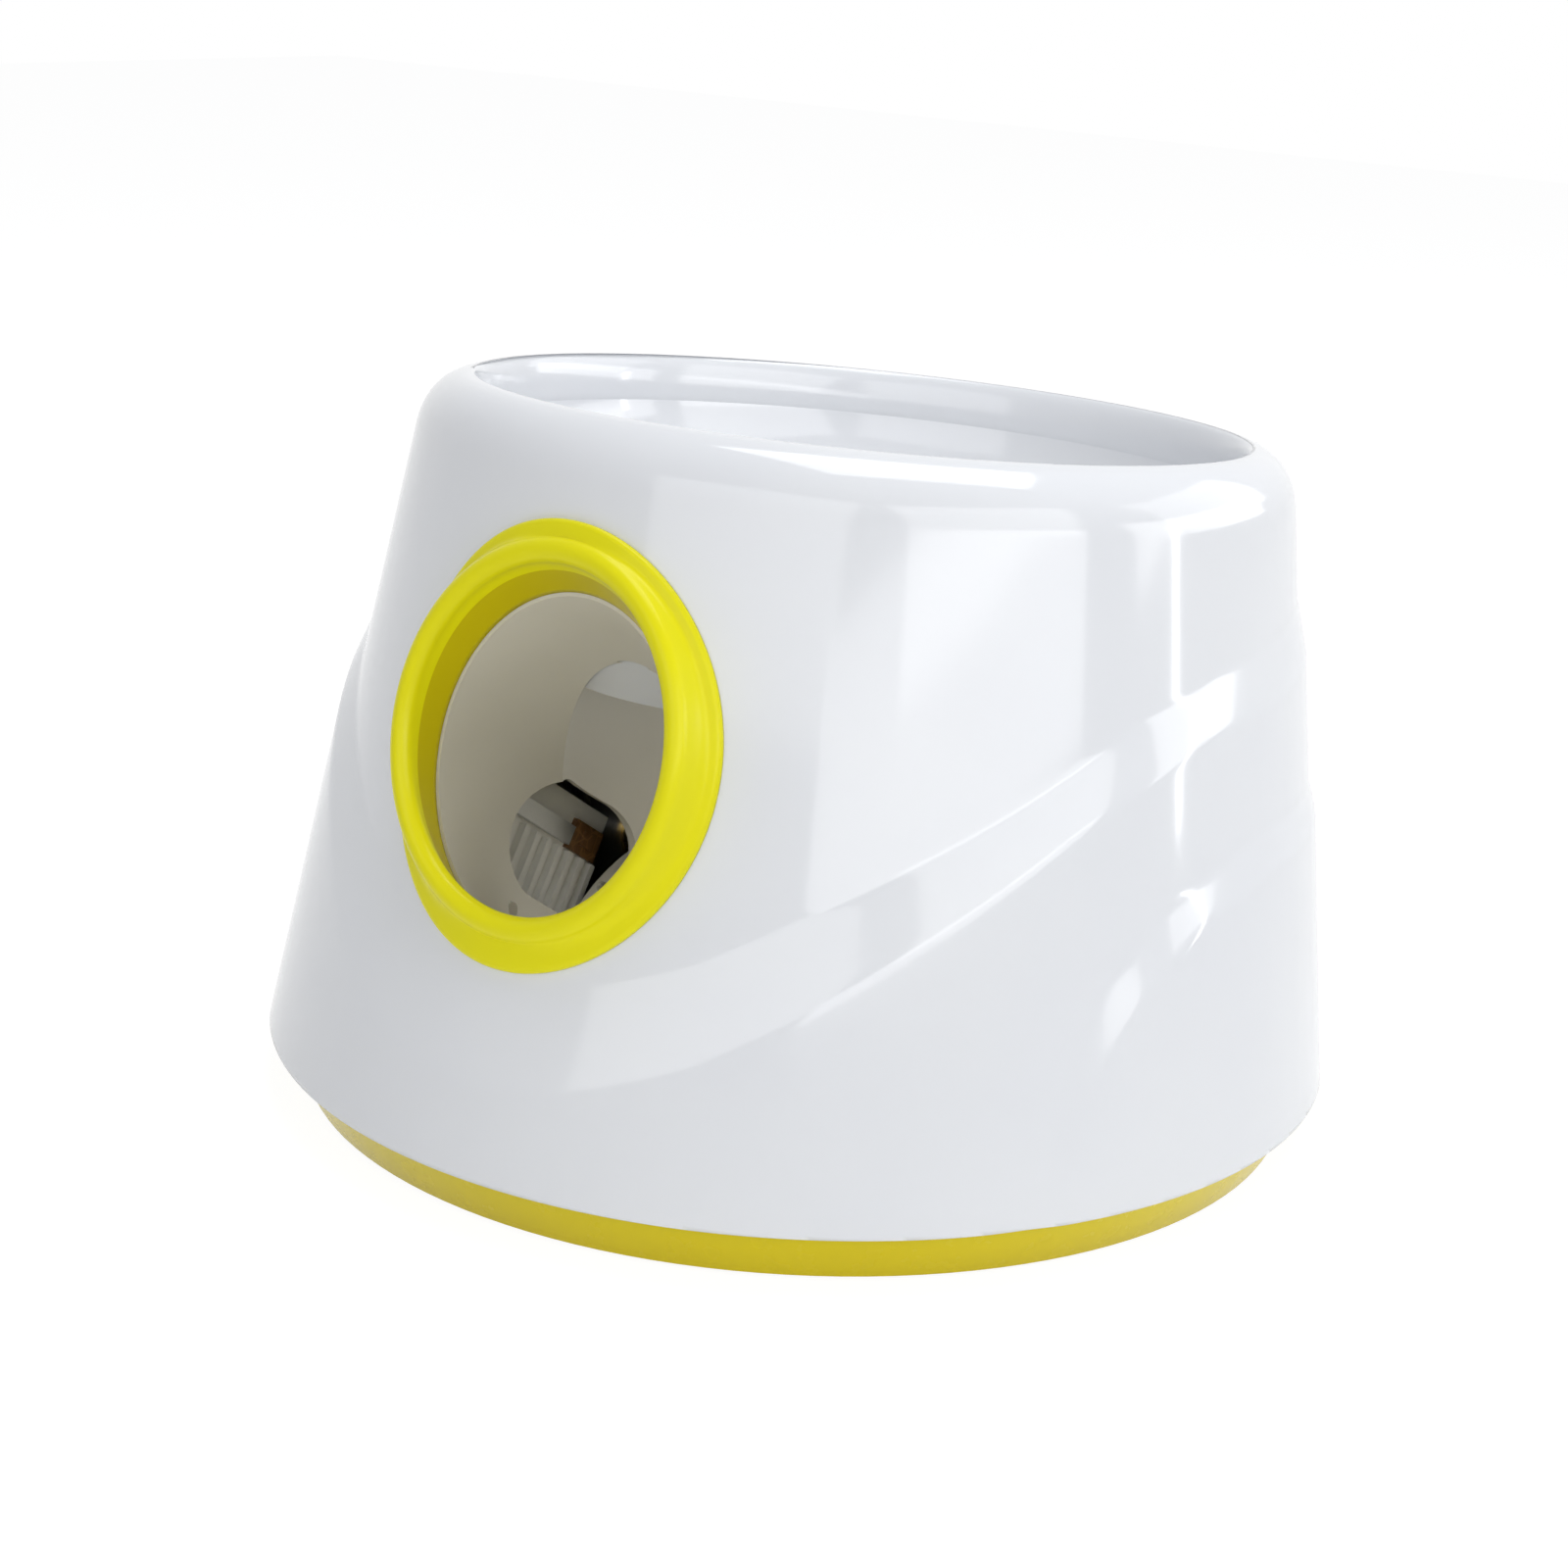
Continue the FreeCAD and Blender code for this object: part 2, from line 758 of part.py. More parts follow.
def guard_screws():
    shapes = []
    for level, depth in guard_screw_spots:
        head = V(guard_outer_x, level, -depth)
        tip = V(guard_inner_x + screw_length - 3, level, -depth)
        shapes.append(screw(tip, head, guard_frame))
    return group(shapes)


def sensor_board():
    """The brown board beside the bar."""
    end = window_end + 2
    board = box((guard_outer_x + guard_plate, guard_outer_x + guard_plate + 1.4),
                (guard_bar_level - 3.4, guard_bar_level + 5), (-end, -window_end + 11.5))
    chip = box((guard_outer_x + guard_plate + 1.4, guard_inner_x), (guard_bar_level - 1, guard_bar_level + 3),
               (-window_end + 2, -window_end + 7))
    return placed(joined(board, chip), guard_frame)


def ball_sensor(side):
    """A round sensor in the chamber wall, side -1 on the left and 1 on the right."""
    wall = math.sqrt(tube_radius ** 2 - sensor_level ** 2)
    inside = side * (wall + 0.6)
    outside = side * (wall + 8.0)
    near_level = abs(sensor_level) - sensor_collar
    collar = side * (math.sqrt(tube_outer ** 2 - near_level ** 2) + slip_gap)
    low, high = sorted((inside, outside))
    lens = bar(2.5, (low, high), sensor_level, -sensor_depth)
    low, high = sorted((collar, outside))
    flange = bar(sensor_collar, (low, high), sensor_level, -sensor_depth)
    return placed(joined(lens, flange), launch_frame)


# ---------- hopper ----------

def frame_circle(radius, height, frame):
    circle = Part.Wire(Part.Circle(V(0, 0, height), Z_AXIS, radius).toShape())
    return placed(circle, frame)


hopper_top = rim_height - hopper_top_drop
hopper_mid = hopper_top - hopper_wall_depth
hopper_outer_radius = lip_radius - slip_gap
neck_inner = tube_radius - slip_gap - neck_wall - 0.1
neck_outer = tube_radius - slip_gap - 0.1


def hopper_outside(margin):
    """The hopper's outer surface below its wall, grown by a margin."""
    low = hopper_mid - hopper_wall - margin
    bottom = -hopper_wall - margin
    funnel = Part.makeLoft([frame_circle(hopper_mid_radius + hopper_wall + margin, low, body_frame),
                            frame_circle(neck_inner + hopper_wall + margin, bottom, throat_frame)], True, True)
    return funnel


def hopper():
    low = hopper_mid - hopper_wall
    upper_out = placed(Part.makeCone(hopper_mid_radius + hopper_wall, hopper_outer_radius, hopper_top - low,
                                     V(0, 0, low), Z_AXIS), body_frame)
    upper_in = placed(Part.makeCone(hopper_mid_radius, hopper_outer_radius - hopper_wall, hopper_wall_depth,
                                    V(0, 0, hopper_mid), Z_AXIS), body_frame)
    lid = placed(post(hopper_outer_radius - hopper_wall, (hopper_top, hopper_top + 5)), body_frame)
    floor_out = hopper_outside(0)
    floor_in = Part.makeLoft([frame_circle(hopper_mid_radius, hopper_mid, body_frame),
                              frame_circle(neck_inner, 0, throat_frame)], True, True)
    neck_out = chute_post(neck_outer, chute_top - neck_length, 0)
    neck_in = chute_post(neck_inner, chute_top - neck_length - 1, 0)
    flange_top = lip_bottom - seat_gap
    flange_low = flange_top - hopper_flange_thickness
    flange = placed(post(lip_radius + hopper_flange_reach, (flange_low, flange_top)), body_frame)
    solid = joined(upper_out, floor_out, neck_out, flange)
    holes = []
    for x, y in hopper_screw_spots():
        holes.append(placed(post(screw_radius, (flange_low - 1, flange_top + 1), x, y), body_frame))
    return without(solid, upper_in, lid, floor_in, neck_in, *holes)


def hopper_screws():
    shapes = []
    head_level = lip_bottom - seat_gap - hopper_flange_thickness
    for x, y in hopper_screw_spots():
        shapes.append(screw(V(x, y, head_level + screw_length), V(x, y, head_level), body_frame))
    return group(shapes)


# ---------- tray ----------

def plate_foot_spots():
    y_values = (plate_low_y + 12, plate_high_y - 20)
    inner = [(inner_plate_x + 5.5, y) for y in y_values]
    outer = [(outer_plate_x - plate_thickness - 5.5, y) for y in y_values]
    return inner + outer


def bracket_foot_spots():
    return [(bracket_x + bracket_thickness + 5.5, pivot.y + side * 14) for side in (-1, 1)]


def board_posts():
    spots = []
    for side_x in (-1, 1):
        for side_y in (-1, 1):
            spots.append((board_x + side_x * (board_length / 2 - 4), board_y + side_y * (board_width / 2 - 4)))
    return spots


def strap_spots():
    reach = battery_width / 2 + 6
    return [(battery_x + side * reach, battery_y) for side in (-1, 1)]


def foot_spots():
    spots = []
    for step in range(4):
        turn = math.radians(90 * step)
        spots.append((foot_ring_radius * math.cos(turn), foot_ring_radius * math.sin(turn)))
    return spots


def base_tray():
    band = Part.makeCone(tray_foot_radius, tray_top_radius, tray_height, V(0, 0, tray_bottom), Z_AXIS)
    inner_foot = tray_foot_radius - tray_wall
    inner_top = tray_top_radius - tray_wall - 4
    flare = (inner_top - inner_foot) / (tray_height - tray_floor)
    reach = tray_height + spigot_height
    hollow = Part.makeCone(inner_foot, inner_foot + flare * reach, reach, V(0, 0, floor_top), Z_AXIS)
    spigot = cone_solid(inner_radius - slip_gap, shell_start, rim_height)
    spigot = spigot.common(box((-200, 200), (-200, 200), (tray_top - 3, tray_top + spigot_height)))
    hollow_top = cone_solid(inner_radius - slip_gap - tray_wall, shell_start, rim_height)
    hollow_top = hollow_top.common(box((-200, 200), (-200, 200), (tray_top - 3, tray_top + 2 * spigot_height)))
    body = joined(band, spigot)
    body = without(body, hollow.common(slab_below(tray_top - 2)), hollow_top)
    adds = []
    cuts = []
    for x, y in boss_spots():
        adds.append(post(boss_radius + 2, (tray_bottom, tray_top - seat_gap), x, y))
        cuts.append(post(screw_radius + 0.3, (0, tray_top), x, y))
        cuts.append(post(screw_head_radius + 0.6, (0, tray_bottom + 4), x, y))
        spot_clear = post(boss_radius + 1, (tray_top - seat_gap, 3 * tray_top), x, y)
        cuts.append(spot_clear)
    for x, y in board_posts():
        adds.append(post(3.2, (tray_bottom, floor_top + board_post), x, y))
        cuts.append(post(screw_radius, (floor_top, floor_top + board_post + 1), x, y))
    for x, y in strap_spots():
        adds.append(post(4.0, (tray_bottom, floor_top + 6), x, y))
        cuts.append(post(screw_radius, (floor_top, floor_top + 7), x, y))
    for x, y in plate_foot_spots() + bracket_foot_spots() + leg_screw_spots():
        cuts.append(post(screw_radius, (tray_bottom + 0.5, floor_top + 1), x, y))
    for x, y in foot_spots():
        cuts.append(post(foot_radius + 0.1, (0, tray_bottom + 1.2), x, y))
    body = joined(body, *adds)
    return without(body, *cuts)


def rubber_feet():
    return group([post(foot_radius, (0, tray_bottom + 1.2), x, y) for x, y in foot_spots()])


def base_screws():
    shapes = []
    for x, y in boss_spots():
        head = V(x, y, tray_bottom + 4)
        shapes.append(screw(V(x, y, tray_top + 14), head))
    return group(shapes)


# ---------- gears ----------

def involute(base_radius, radius):
    """Angle of the involute at a radius, from where it leaves its base circle."""
    if radius <= base_radius:
        return 0.0
    angle = math.acos(base_radius / radius)
    return math.tan(angle) - angle


def gear_outline(module, teeth, phase, kept):
    """Closed outline in the YZ plane; kept is how many teeth are cut, the rest of the rim is bare."""
    pitch_radius = module * teeth / 2
    tip = pitch_radius + 0.8 * module
    root = pitch_radius - 1.05 * module
    base = pitch_radius * math.cos(math.radians(pressure_angle))
    half_tooth = math.pi / (2 * teeth) - backlash / (2 * pitch_radius)
    pitch_turn = involute(base, pitch_radius)

    def flank(radius, side, centre):
        return polar(radius, centre + side * (half_tooth + pitch_turn - involute(base, radius)))

    def polar(radius, angle):
        return V(0, radius * math.cos(angle), radius * math.sin(angle))

    edges = []
    step = 2 * math.pi / teeth
    start = math.radians(phase)
    mid = max(pitch_radius, base * 1.01)
    for index in range(kept):
        centre = start + index * step
        foot_low = flank(root, -1, centre)
        foot_high = flank(root, 1, centre)
        edges.append(Part.Arc(foot_low, flank(mid, -1, centre), flank(tip, -1, centre)).toShape())
        edges.append(Part.Arc(flank(tip, -1, centre), polar(tip, centre), flank(tip, 1, centre)).toShape())
        edges.append(Part.Arc(flank(tip, 1, centre), flank(mid, 1, centre), foot_high).toShape())
        last = index == kept - 1
        next_centre = start + 2 * math.pi if last else centre + step
        next_foot = flank(root, -1, next_centre)
        gap_mid = (centre + next_centre) / 2
        edges.append(Part.Arc(foot_high, polar(root, gap_mid), next_foot).toShape())
    return Part.Wire(edges)


def gear(module, teeth, phase, x_span, y, z, kept=None):
    outline = gear_outline(module, teeth, phase, kept or teeth)
    solid = Part.Face(outline).extrude(V(x_span[1] - x_span[0], 0, 0))
    if solid.Volume < 0:
        solid.reverse()
    solid.translate(V(x_span[0], y, z))
    return solid


def step_from(point, distance, direction):
    turn = math.radians(direction)
    return V(0, point.y + distance * math.cos(turn), point.z + distance * math.sin(turn))


second_axis = step_from(pivot, quadrant_module * (quadrant_teeth + sector_teeth) / 2, second_gear_direction)
first_axis = step_from(second_axis, wheel_module * (wheel_teeth + small_teeth) / 2, first_gear_direction)
motor_axis = step_from(first_axis, fine_module * (fine_wheel_teeth + motor_teeth) / 2, motor_direction)

inner_plate_out = inner_plate_x - plate_thickness
fine_x = (inner_plate_out - gear_side_gap - fine_width, inner_plate_out - gear_side_gap)
wheel_x = (fine_x[0] - gear_side_gap - wheel_width, fine_x[0] - gear_side_gap)
quadrant_x = (wheel_x[0] - gear_side_gap - quadrant_width, wheel_x[0] - gear_side_gap)
outer_plate_x = quadrant_x[0] - gear_side_gap
outer_plate_out = outer_plate_x - plate_thickness
plate_low_y = pivot.y - 22
plate_high_y = motor_axis.y + 16
plate_top = pivot.z + 20


def hammer_gear():
    solid = gear(quadrant_module, quadrant_teeth, second_gear_direction + 180.0 / quadrant_teeth,
                 quadrant_x, pivot.y, pivot.z)
    hub = bar(hub_radius, (quadrant_x[0], quadrant_x[1] + gear_side_gap / 2), pivot.y, pivot.z)
    holes = [bar(shaft_radius, (quadrant_x[0] - 1, quadrant_x[1] + 2), pivot.y, pivot.z)]
    web_radius = 17.0
    for step in range(5):
        spot = step_from(pivot, web_radius, 72 * step)
        holes.append(bar(4.2, (quadrant_x[0] - 1, quadrant_x[1] + 1), spot.y, spot.z))
    return without(joined(solid, hub), *holes)


def second_gear():
    wheel = gear(wheel_module, wheel_teeth, first_gear_direction, wheel_x, second_axis.y, second_axis.z)
    sector = gear(quadrant_module, sector_teeth, second_gear_direction + 180,
                  (quadrant_x[0] + 0.5, wheel_x[0] + 0.01), second_axis.y, second_axis.z, sector_kept_teeth)
    solid = joined(wheel, sector)
    holes = [bar(axle_radius + shaft_gap, (quadrant_x[0] - 1, wheel_x[1] + 1), second_axis.y, second_axis.z)]
    for step in range(4):
        spot = step_from(second_axis, 16.5, 90 * step + 45)
        holes.append(bar(4.0, (wheel_x[0] - 1, wheel_x[1] + 1), spot.y, spot.z))
    return without(solid, *holes)


def first_gear():
    wheel = gear(fine_module, fine_wheel_teeth, motor_direction, fine_x, first_axis.y, first_axis.z)
    small = gear(wheel_module, small_teeth, first_gear_direction + 180 + 180.0 / small_teeth,
                 (wheel_x[0] - 0.5, fine_x[0] + 0.01), first_axis.y, first_axis.z)
    solid = joined(wheel, small)
    hole = bar(axle_radius + shaft_gap, (wheel_x[0] - 2, fine_x[1] + 1), first_axis.y, first_axis.z)
    return without(solid, hole)


def motor_pinion():
    solid = gear(fine_module, motor_teeth, motor_direction + 180 + 180.0 / motor_teeth,
                 (fine_x[0] - 0.5, fine_x[1] + 0.4), motor_axis.y, motor_axis.z)
    return without(solid, bar(motor_shaft_radius, (fine_x[0] - 2, fine_x[1] + 2), motor_axis.y, motor_axis.z))


def motor_shaft():
    return bar(motor_shaft_radius, (fine_x[0] - 0.5, inner_plate_x + 14), motor_axis.y, motor_axis.z)


def gear_axle(axis):
    shank = bar(axle_radius, (outer_plate_out, inner_plate_x), axis.y, axis.z)
    return shank


def first_axle():
    return gear_axle(first_axis)


def second_axle():
    return gear_axle(second_axis)


def spacer_spots():
    return [(plate_low_y + 7, floor_top + 16), (plate_low_y + 50, plate_top + 1), (plate_high_y - 6, plate_top - 26)]


def plate_outline(x_low, x_high):
    """A flat plate around the shafts, standing on the tray."""
    corners = [
        (plate_low_y, floor_top), (plate_high_y, floor_top), (plate_high_y, plate_top - 20),
        (plate_high_y - 22, plate_top - 4), (plate_low_y + 50, plate_top + 6), (plate_low_y + 6, plate_top + 6),
        (plate_low_y, plate_top),
    ]
    points = [V(x_low, y, z) for y, z in corners]
    points.append(points[0])
    return Part.Face(Part.makePolygon(points)).extrude(V(x_high - x_low, 0, 0))


def plate_foot(x_span):
    """The foot flange of a gear plate, along its lower edge."""
    feet = []
    for y in (plate_low_y + 12, plate_high_y - 20):
        feet.append(box(x_span, (y - 8, y + 8), (floor_top, floor_top + 3)))
    return feet


def gear_plate(x_low, foot_span):
    x_high = x_low + plate_thickness
    solid = joined(plate_outline(x_low, x_high), *plate_foot(foot_span))
    span = (x_low - 1, x_high + 1)
    cuts = [bar(shaft_radius + bush_wall, span, pivot.y, pivot.z)]
    for axis in (first_axis, second_axis):
        cuts.append(bar(axle_radius, span, axis.y, axis.z))
    for y, z in spacer_spots():
        cuts.append(bar(screw_radius, span, y, z))
    for x, y in plate_foot_spots():
        cuts.append(post(screw_radius, (0, 20), x, y))
    return solid, cuts


def motor_screw_spots():
    return [(motor_axis.y + side * 8.0, motor_axis.z) for side in (-1, 1)]


spring_bar_axis = step_from(pivot, spring_bar_offset, spring_bar_direction)


def gear_plate_inner():
    solid, cuts = gear_plate(inner_plate_out, (inner_plate_x - 0.5, inner_plate_x + 11))
    span = (inner_plate_out - 1, inner_plate_x + 1)
    cuts.append(bar(motor_boss_radius, span, motor_axis.y, motor_axis.z))
    cuts.append(bar(spring_bar_radius, span, spring_bar_axis.y, spring_bar_axis.z))
    for y, z in motor_screw_spots():
        cuts.append(bar(1.3, span, y, z))
    return without(solid, *cuts)


def gear_plate_outer():
    solid, cuts = gear_plate(outer_plate_out, (outer_plate_out - 11, outer_plate_out + 0.5))
    return without(solid, *cuts)


def plate_spacers():
    shapes = []
    for y, z in spacer_spots():
        tube = bar(3.5, (outer_plate_x, inner_plate_out), y, z)
        shapes.append(tube.cut(bar(screw_radius, (outer_plate_x - 1, inner_plate_out + 1), y, z)))
    return group(shapes)


def plate_screws():
    shapes = []
    for y, z in spacer_spots():
        shapes.append(screw(V(outer_plate_x + 12, y, z), V(outer_plate_out, y, z)))
        shapes.append(screw(V(inner_plate_out - 12 + 4, y, z), V(inner_plate_x, y, z)))
    for x, y in plate_foot_spots():
        shapes.append(screw(V(x, y, tray_bottom + 0.5), V(x, y, floor_top + 3)))
    return group(shapes)


def shaft_bush(wall_low, wall_high, flange_side):
    """A flanged bush pressed into a plate; the flange is on the given side."""
    sleeve = bar(shaft_radius + bush_wall, (wall_low, wall_high), pivot.y, pivot.z)
    if flange_side < 0:
        flange_span = (wall_low - bush_flange / 2, wall_low)
    else:
        flange_span = (wall_high, wall_high + bush_flange)
    flange = bar(shaft_radius + bush_wall + 2, flange_span, pivot.y, pivot.z)
    hole = bar(shaft_radius + shaft_gap, (wall_low - 5, wall_high + 5), pivot.y, pivot.z)
    return without(joined(sleeve, flange), hole)


def shaft_bushes():
    return group([
        shaft_bush(outer_plate_out, outer_plate_x, -1),
        shaft_bush(inner_plate_out, inner_plate_x, 1),
        shaft_bush(bracket_x, bracket_x + bracket_thickness, 1),
    ])


def hammer_bracket():
    x_high = bracket_x + bracket_thickness
    low_y = pivot.y - 20
    high_y = pivot.y + 30
    corners = [(low_y, floor_top), (high_y, floor_top), (high_y, pivot.z + 10),
               (pivot.y + 12, pivot.z + 22), (pivot.y - 8, pivot.z + 14), (pivot.y - 9, pivot.z - 10)]
    points = [V(bracket_x, y, z) for y, z in corners]
    points.append(points[0])
    wall = Part.Face(Part.makePolygon(points)).extrude(V(bracket_thickness, 0, 0))
    foot = box((x_high - 1, x_high + 11), (pivot.y - 20, pivot.y + 20), (floor_top, floor_top + 3))
    gusset = box((x_high - 1, x_high + 7), (pivot.y - 1.5, pivot.y + 1.5), (floor_top, floor_top + 20))
    cuts = [bar(shaft_radius + bush_wall, (bracket_x - 1, x_high + 1), pivot.y, pivot.z)]
    cuts.append(bar(spring_bar_radius, (bracket_x - 1, x_high + 1), spring_bar_axis.y, spring_bar_axis.z))
    for x, y in bracket_foot_spots():
        cuts.append(post(screw_radius, (0, 20), x, y))
    keep = launch_box((-200, 200), (-200, 200), (seat_depth + end_wall_thickness + 4, 400))
    return without(joined(wall, foot, gusset).common(keep), *cuts)


def bracket_screws():
    return group([screw(V(x, y, tray_bottom + 0.5), V(x, y, floor_top + 3)) for x, y in bracket_foot_spots()])


def spring_bar():
    return bar(spring_bar_radius, (inner_plate_out, bracket_x + bracket_thickness), spring_bar_axis.y,
               spring_bar_axis.z)


# ---------- hammer ----------

def hammer():
    """Hub, arm and head; the head reaches forward to the ball through the end wall."""
    depth = seat_depth + hammer_depth_behind
    level = hammer_level + hammer_reach
    hub = bar(hub_radius, (-hub_half_length, hub_half_length), level, -depth)
    half = arm_depth / 2
    arm = box((-arm_width / 2, arm_width / 2), (hammer_level - 6, level), (-depth - half, -depth + half))
    head_back = depth - half
    head = post(hammer_head_radius, (-head_back - 1, -head_back + hammer_head_length), 0, hammer_level)
    seat_level = level - spring_leg_reach
    seat = box((-arm_width / 2, arm_width / 2), (seat_level - 3, seat_level + 3),
               (-depth - spring_coil_radius + spring_wire_radius + shaft_gap, -depth))
    solid = joined(hub, arm, head, seat)
    holes = [bar(shaft_radius, (-50, 50), level, -depth), pin_bar(2 * hub_radius)]
    return placed(without(solid, *holes), launch_frame)


def hammer_pad():
    back = seat_depth + hammer_depth_behind - arm_depth / 2 - hammer_head_length
    shape = post(hammer_head_radius - 1, (-back, -back + hammer_pad_thickness), 0, hammer_level)
    edges = [edge for edge in shape.Edges if abs(edge.BoundBox.ZMax - (-back + hammer_pad_thickness)) < 0.01]
    circles = [edge for edge in edges if edge.Curve.TypeId == "Part::GeomCircle"]
    return placed(shape.makeFillet(1.2, circles), launch_frame)


def hammer_shaft():
    solid = bar(shaft_radius, (outer_plate_out - 1, bracket_x + bracket_thickness + 2), pivot.y, pivot.z)
    return without(solid, placed(pin_bar(2 * hub_radius), launch_frame))


def hub_pin():
    """The pin that locks the hammer's hub to its shaft."""
    reach = hub_radius + 0.6
    return placed(pin_bar(reach), launch_frame)


def pin_bar(reach):
    """The pin's cylinder in the launch frame, square to the arm."""
    depth = seat_depth + hammer_depth_behind
    level = hammer_level + hammer_reach
    return Part.makeCylinder(hub_pin_radius, 2 * reach, V(0, level, -depth - reach), Z_AXIS)


def stop_buffer():
    start = seat_depth + end_wall_thickness
    end = seat_depth + hammer_depth_behind - arm_depth / 2 - slip_gap
    half = buffer_size / 2
    return launch_box((-half, half), (20.0 - half, 20.0 + half), (start, end))


def torsion_spring(side):
    """One bent wire: a coil round the shaft, a leg behind the arm and a leg on the spring bar."""
    start = hub_half_length + spring_side_gap
    length = spring_turns * spring_pitch
    bar_way = launch_frame.inverse().multVec(spring_bar_axis) - launch_frame.inverse().multVec(pivot)
    rest = tangent_point(bar_way, spring_bar_radius + spring_wire_radius)
    bend = 1.4
    points = [V(1.0, -spring_leg_reach, -spring_coil_radius)]
    points.append(V(start - bend, -spring_leg_reach, -spring_coil_radius))
    points.append(V(start - 0.3 * bend, -spring_leg_reach + 0.3 * bend, -spring_coil_radius))
    points.append(V(start, -spring_leg_reach + bend, -spring_coil_radius))
    count = int(spring_turns * spring_facets)
    for step in range(count + 1):
        turn = 2 * math.pi * step / spring_facets
        along = start + length * step / count
        points.append(V(along, spring_coil_radius * math.sin(turn), -spring_coil_radius * math.cos(turn)))
    points.append(V(start + length, rest[0], rest[1]))
    section = Part.Wire(Part.Circle(points[0], points[1] - points[0], spring_wire_radius).toShape())
    solid = Part.makePolygon(points).makePipeShell([section], True, False, 1)
    depth = seat_depth + hammer_depth_behind
    level = hammer_level + hammer_reach
    solid.translate(V(0, level, -depth))
    solid = placed(solid, launch_frame)
    if side < 0:
        solid = solid.mirror(V(0, 0, 0), X_AXIS)
    return solid


def tangent_point(bar_way, gap):
    """Where the fixed leg lies against the spring bar, seen along the shaft."""
    start = V(0, 0, -spring_coil_radius)
    way = V(0, bar_way.y, bar_way.z) - start
    distance = way.Length
    lean = math.asin(gap / distance)
    base = math.atan2(way.z, way.y)
    turn = base - lean
    length = math.sqrt(distance ** 2 - gap ** 2) + 3.0
    return length * math.cos(turn), -spring_coil_radius + length * math.sin(turn)


def spring_left():
    return torsion_spring(-1)


def spring_right():
    return torsion_spring(1)


def position_sensor():
    """The sensor beside the head's path that tells when the hammer is drawn."""
    body = box((bracket_x - 2, bracket_x), (pivot.y - 10, pivot.y + 6), (floor_top + 6, floor_top + 20))
    eye = box((bracket_x - 5, bracket_x - 1), (pivot.y - 6, pivot.y + 2), (floor_top + 10, floor_top + 15))
    return joined(body, eye)


# ---------- motor ----------

def drive_motor():
    span = (inner_plate_x, inner_plate_x + motor_length)
    can = bar(motor_radius, span, motor_axis.y, motor_axis.z)
    flats = [box((span[0] - 1, span[1] + 1), (motor_axis.y - 20, motor_axis.y + 20),
                 (motor_axis.z + side * 11.4 - (10 if side < 0 else 0), motor_axis.z + side * 11.4 + (0 if side < 0 else 10)))
             for side in (-1, 1)]
    can = can.cut(flats)
    boss = bar(motor_boss_radius, (span[0] - motor_boss_length, span[0]), motor_axis.y, motor_axis.z)
    tail = bar(motor_boss_radius, (span[1], span[1] + 2), motor_axis.y, motor_axis.z)
    tabs = [box((span[1], span[1] + 4), (motor_axis.y + side * 8 - 1.4, motor_axis.y + side * 8 + 1.4),
                (motor_axis.z - 0.3, motor_axis.z + 0.3)) for side in (-1, 1)]
    holes = [bar(motor_shaft_radius + shaft_gap, (span[0] - 5, span[0] + 15), motor_axis.y, motor_axis.z)]
    for y, z in motor_screw_spots():
        holes.append(bar(1.3, (span[0] - 1, span[0] + 4), y, z))
    return without(joined(can, boss, tail, *tabs), *holes)


def motor_screws():
    shapes = []
    for y, z in motor_screw_spots():
        shank = bar(1.3, (inner_plate_out, inner_plate_x + 3), y, z)
        cap = bar(2.2, (inner_plate_out - 0.8, inner_plate_out), y, z)
        shapes.append(joined(shank, cap))
    return group(shapes)


# ---------- electronics ----------

board_level = floor_top + board_post


def control_board():
    half_x = board_length / 2
    half_y = board_width / 2
    plate = box((board_x - half_x, board_x + half_x), (board_y - half_y, board_y + half_y),
                (board_level, board_level + board_thickness))
    holes = [post(screw_radius, (0, 50), x, y) for x, y in board_posts()]
    return without(plate, *holes)


def board_screws():
    top = board_level + board_thickness
    return group([screw(V(x, y, floor_top + 2), V(x, y, top)) for x, y in board_posts()])


def board_parts():
    top = board_level + board_thickness
    chip = box((board_x - 12, board_x - 2), (board_y + 1, board_y + 11), (top, top + 1.8))
    driver = box((board_x + 6, board_x + 16), (board_y - 4, board_y + 2), (top, top + 3))
    coil = post(4.5, (top, top + 7), board_x + 13, board_y + 11)
    cap = post(4.0, (top, top + 11), board_x - 18, board_y + 2)
    return group([chip, driver, coil, cap])


def board_connectors():
    top = board_level + board_thickness
    shapes = []
    for step in range(3):
        x = board_x - 15 + 13 * step
        block = box((x - 5, x + 5), (board_y - 21, board_y - 14.5), (top, top + 7))
        shapes.append(block.cut(box((x - 4, x + 4), (board_y - 20, board_y - 15.5), (top + 1.5, top + 8))))
    return group(shapes)


def buzzer():
    top = board_level + board_thickness
    can = post(6.0, (top, top + 8.5), board_x, board_y - 8.0 + 1.0)
    return can.cut(post(1.0, (top + 6, top + 9), board_x, board_y - 7.0))


def battery_pack():
    half_x = battery_width / 2
    half_y = battery_length / 2
    solid = box((battery_x - half_x, battery_x + half_x), (battery_y - half_y, battery_y + half_y),
                (floor_top, floor_top + battery_height))
    along = [edge for edge in solid.Edges if abs(edge.tangentAt(edge.FirstParameter).y) > 0.9]
    return solid.makeFillet(battery_height * 0.4, along)


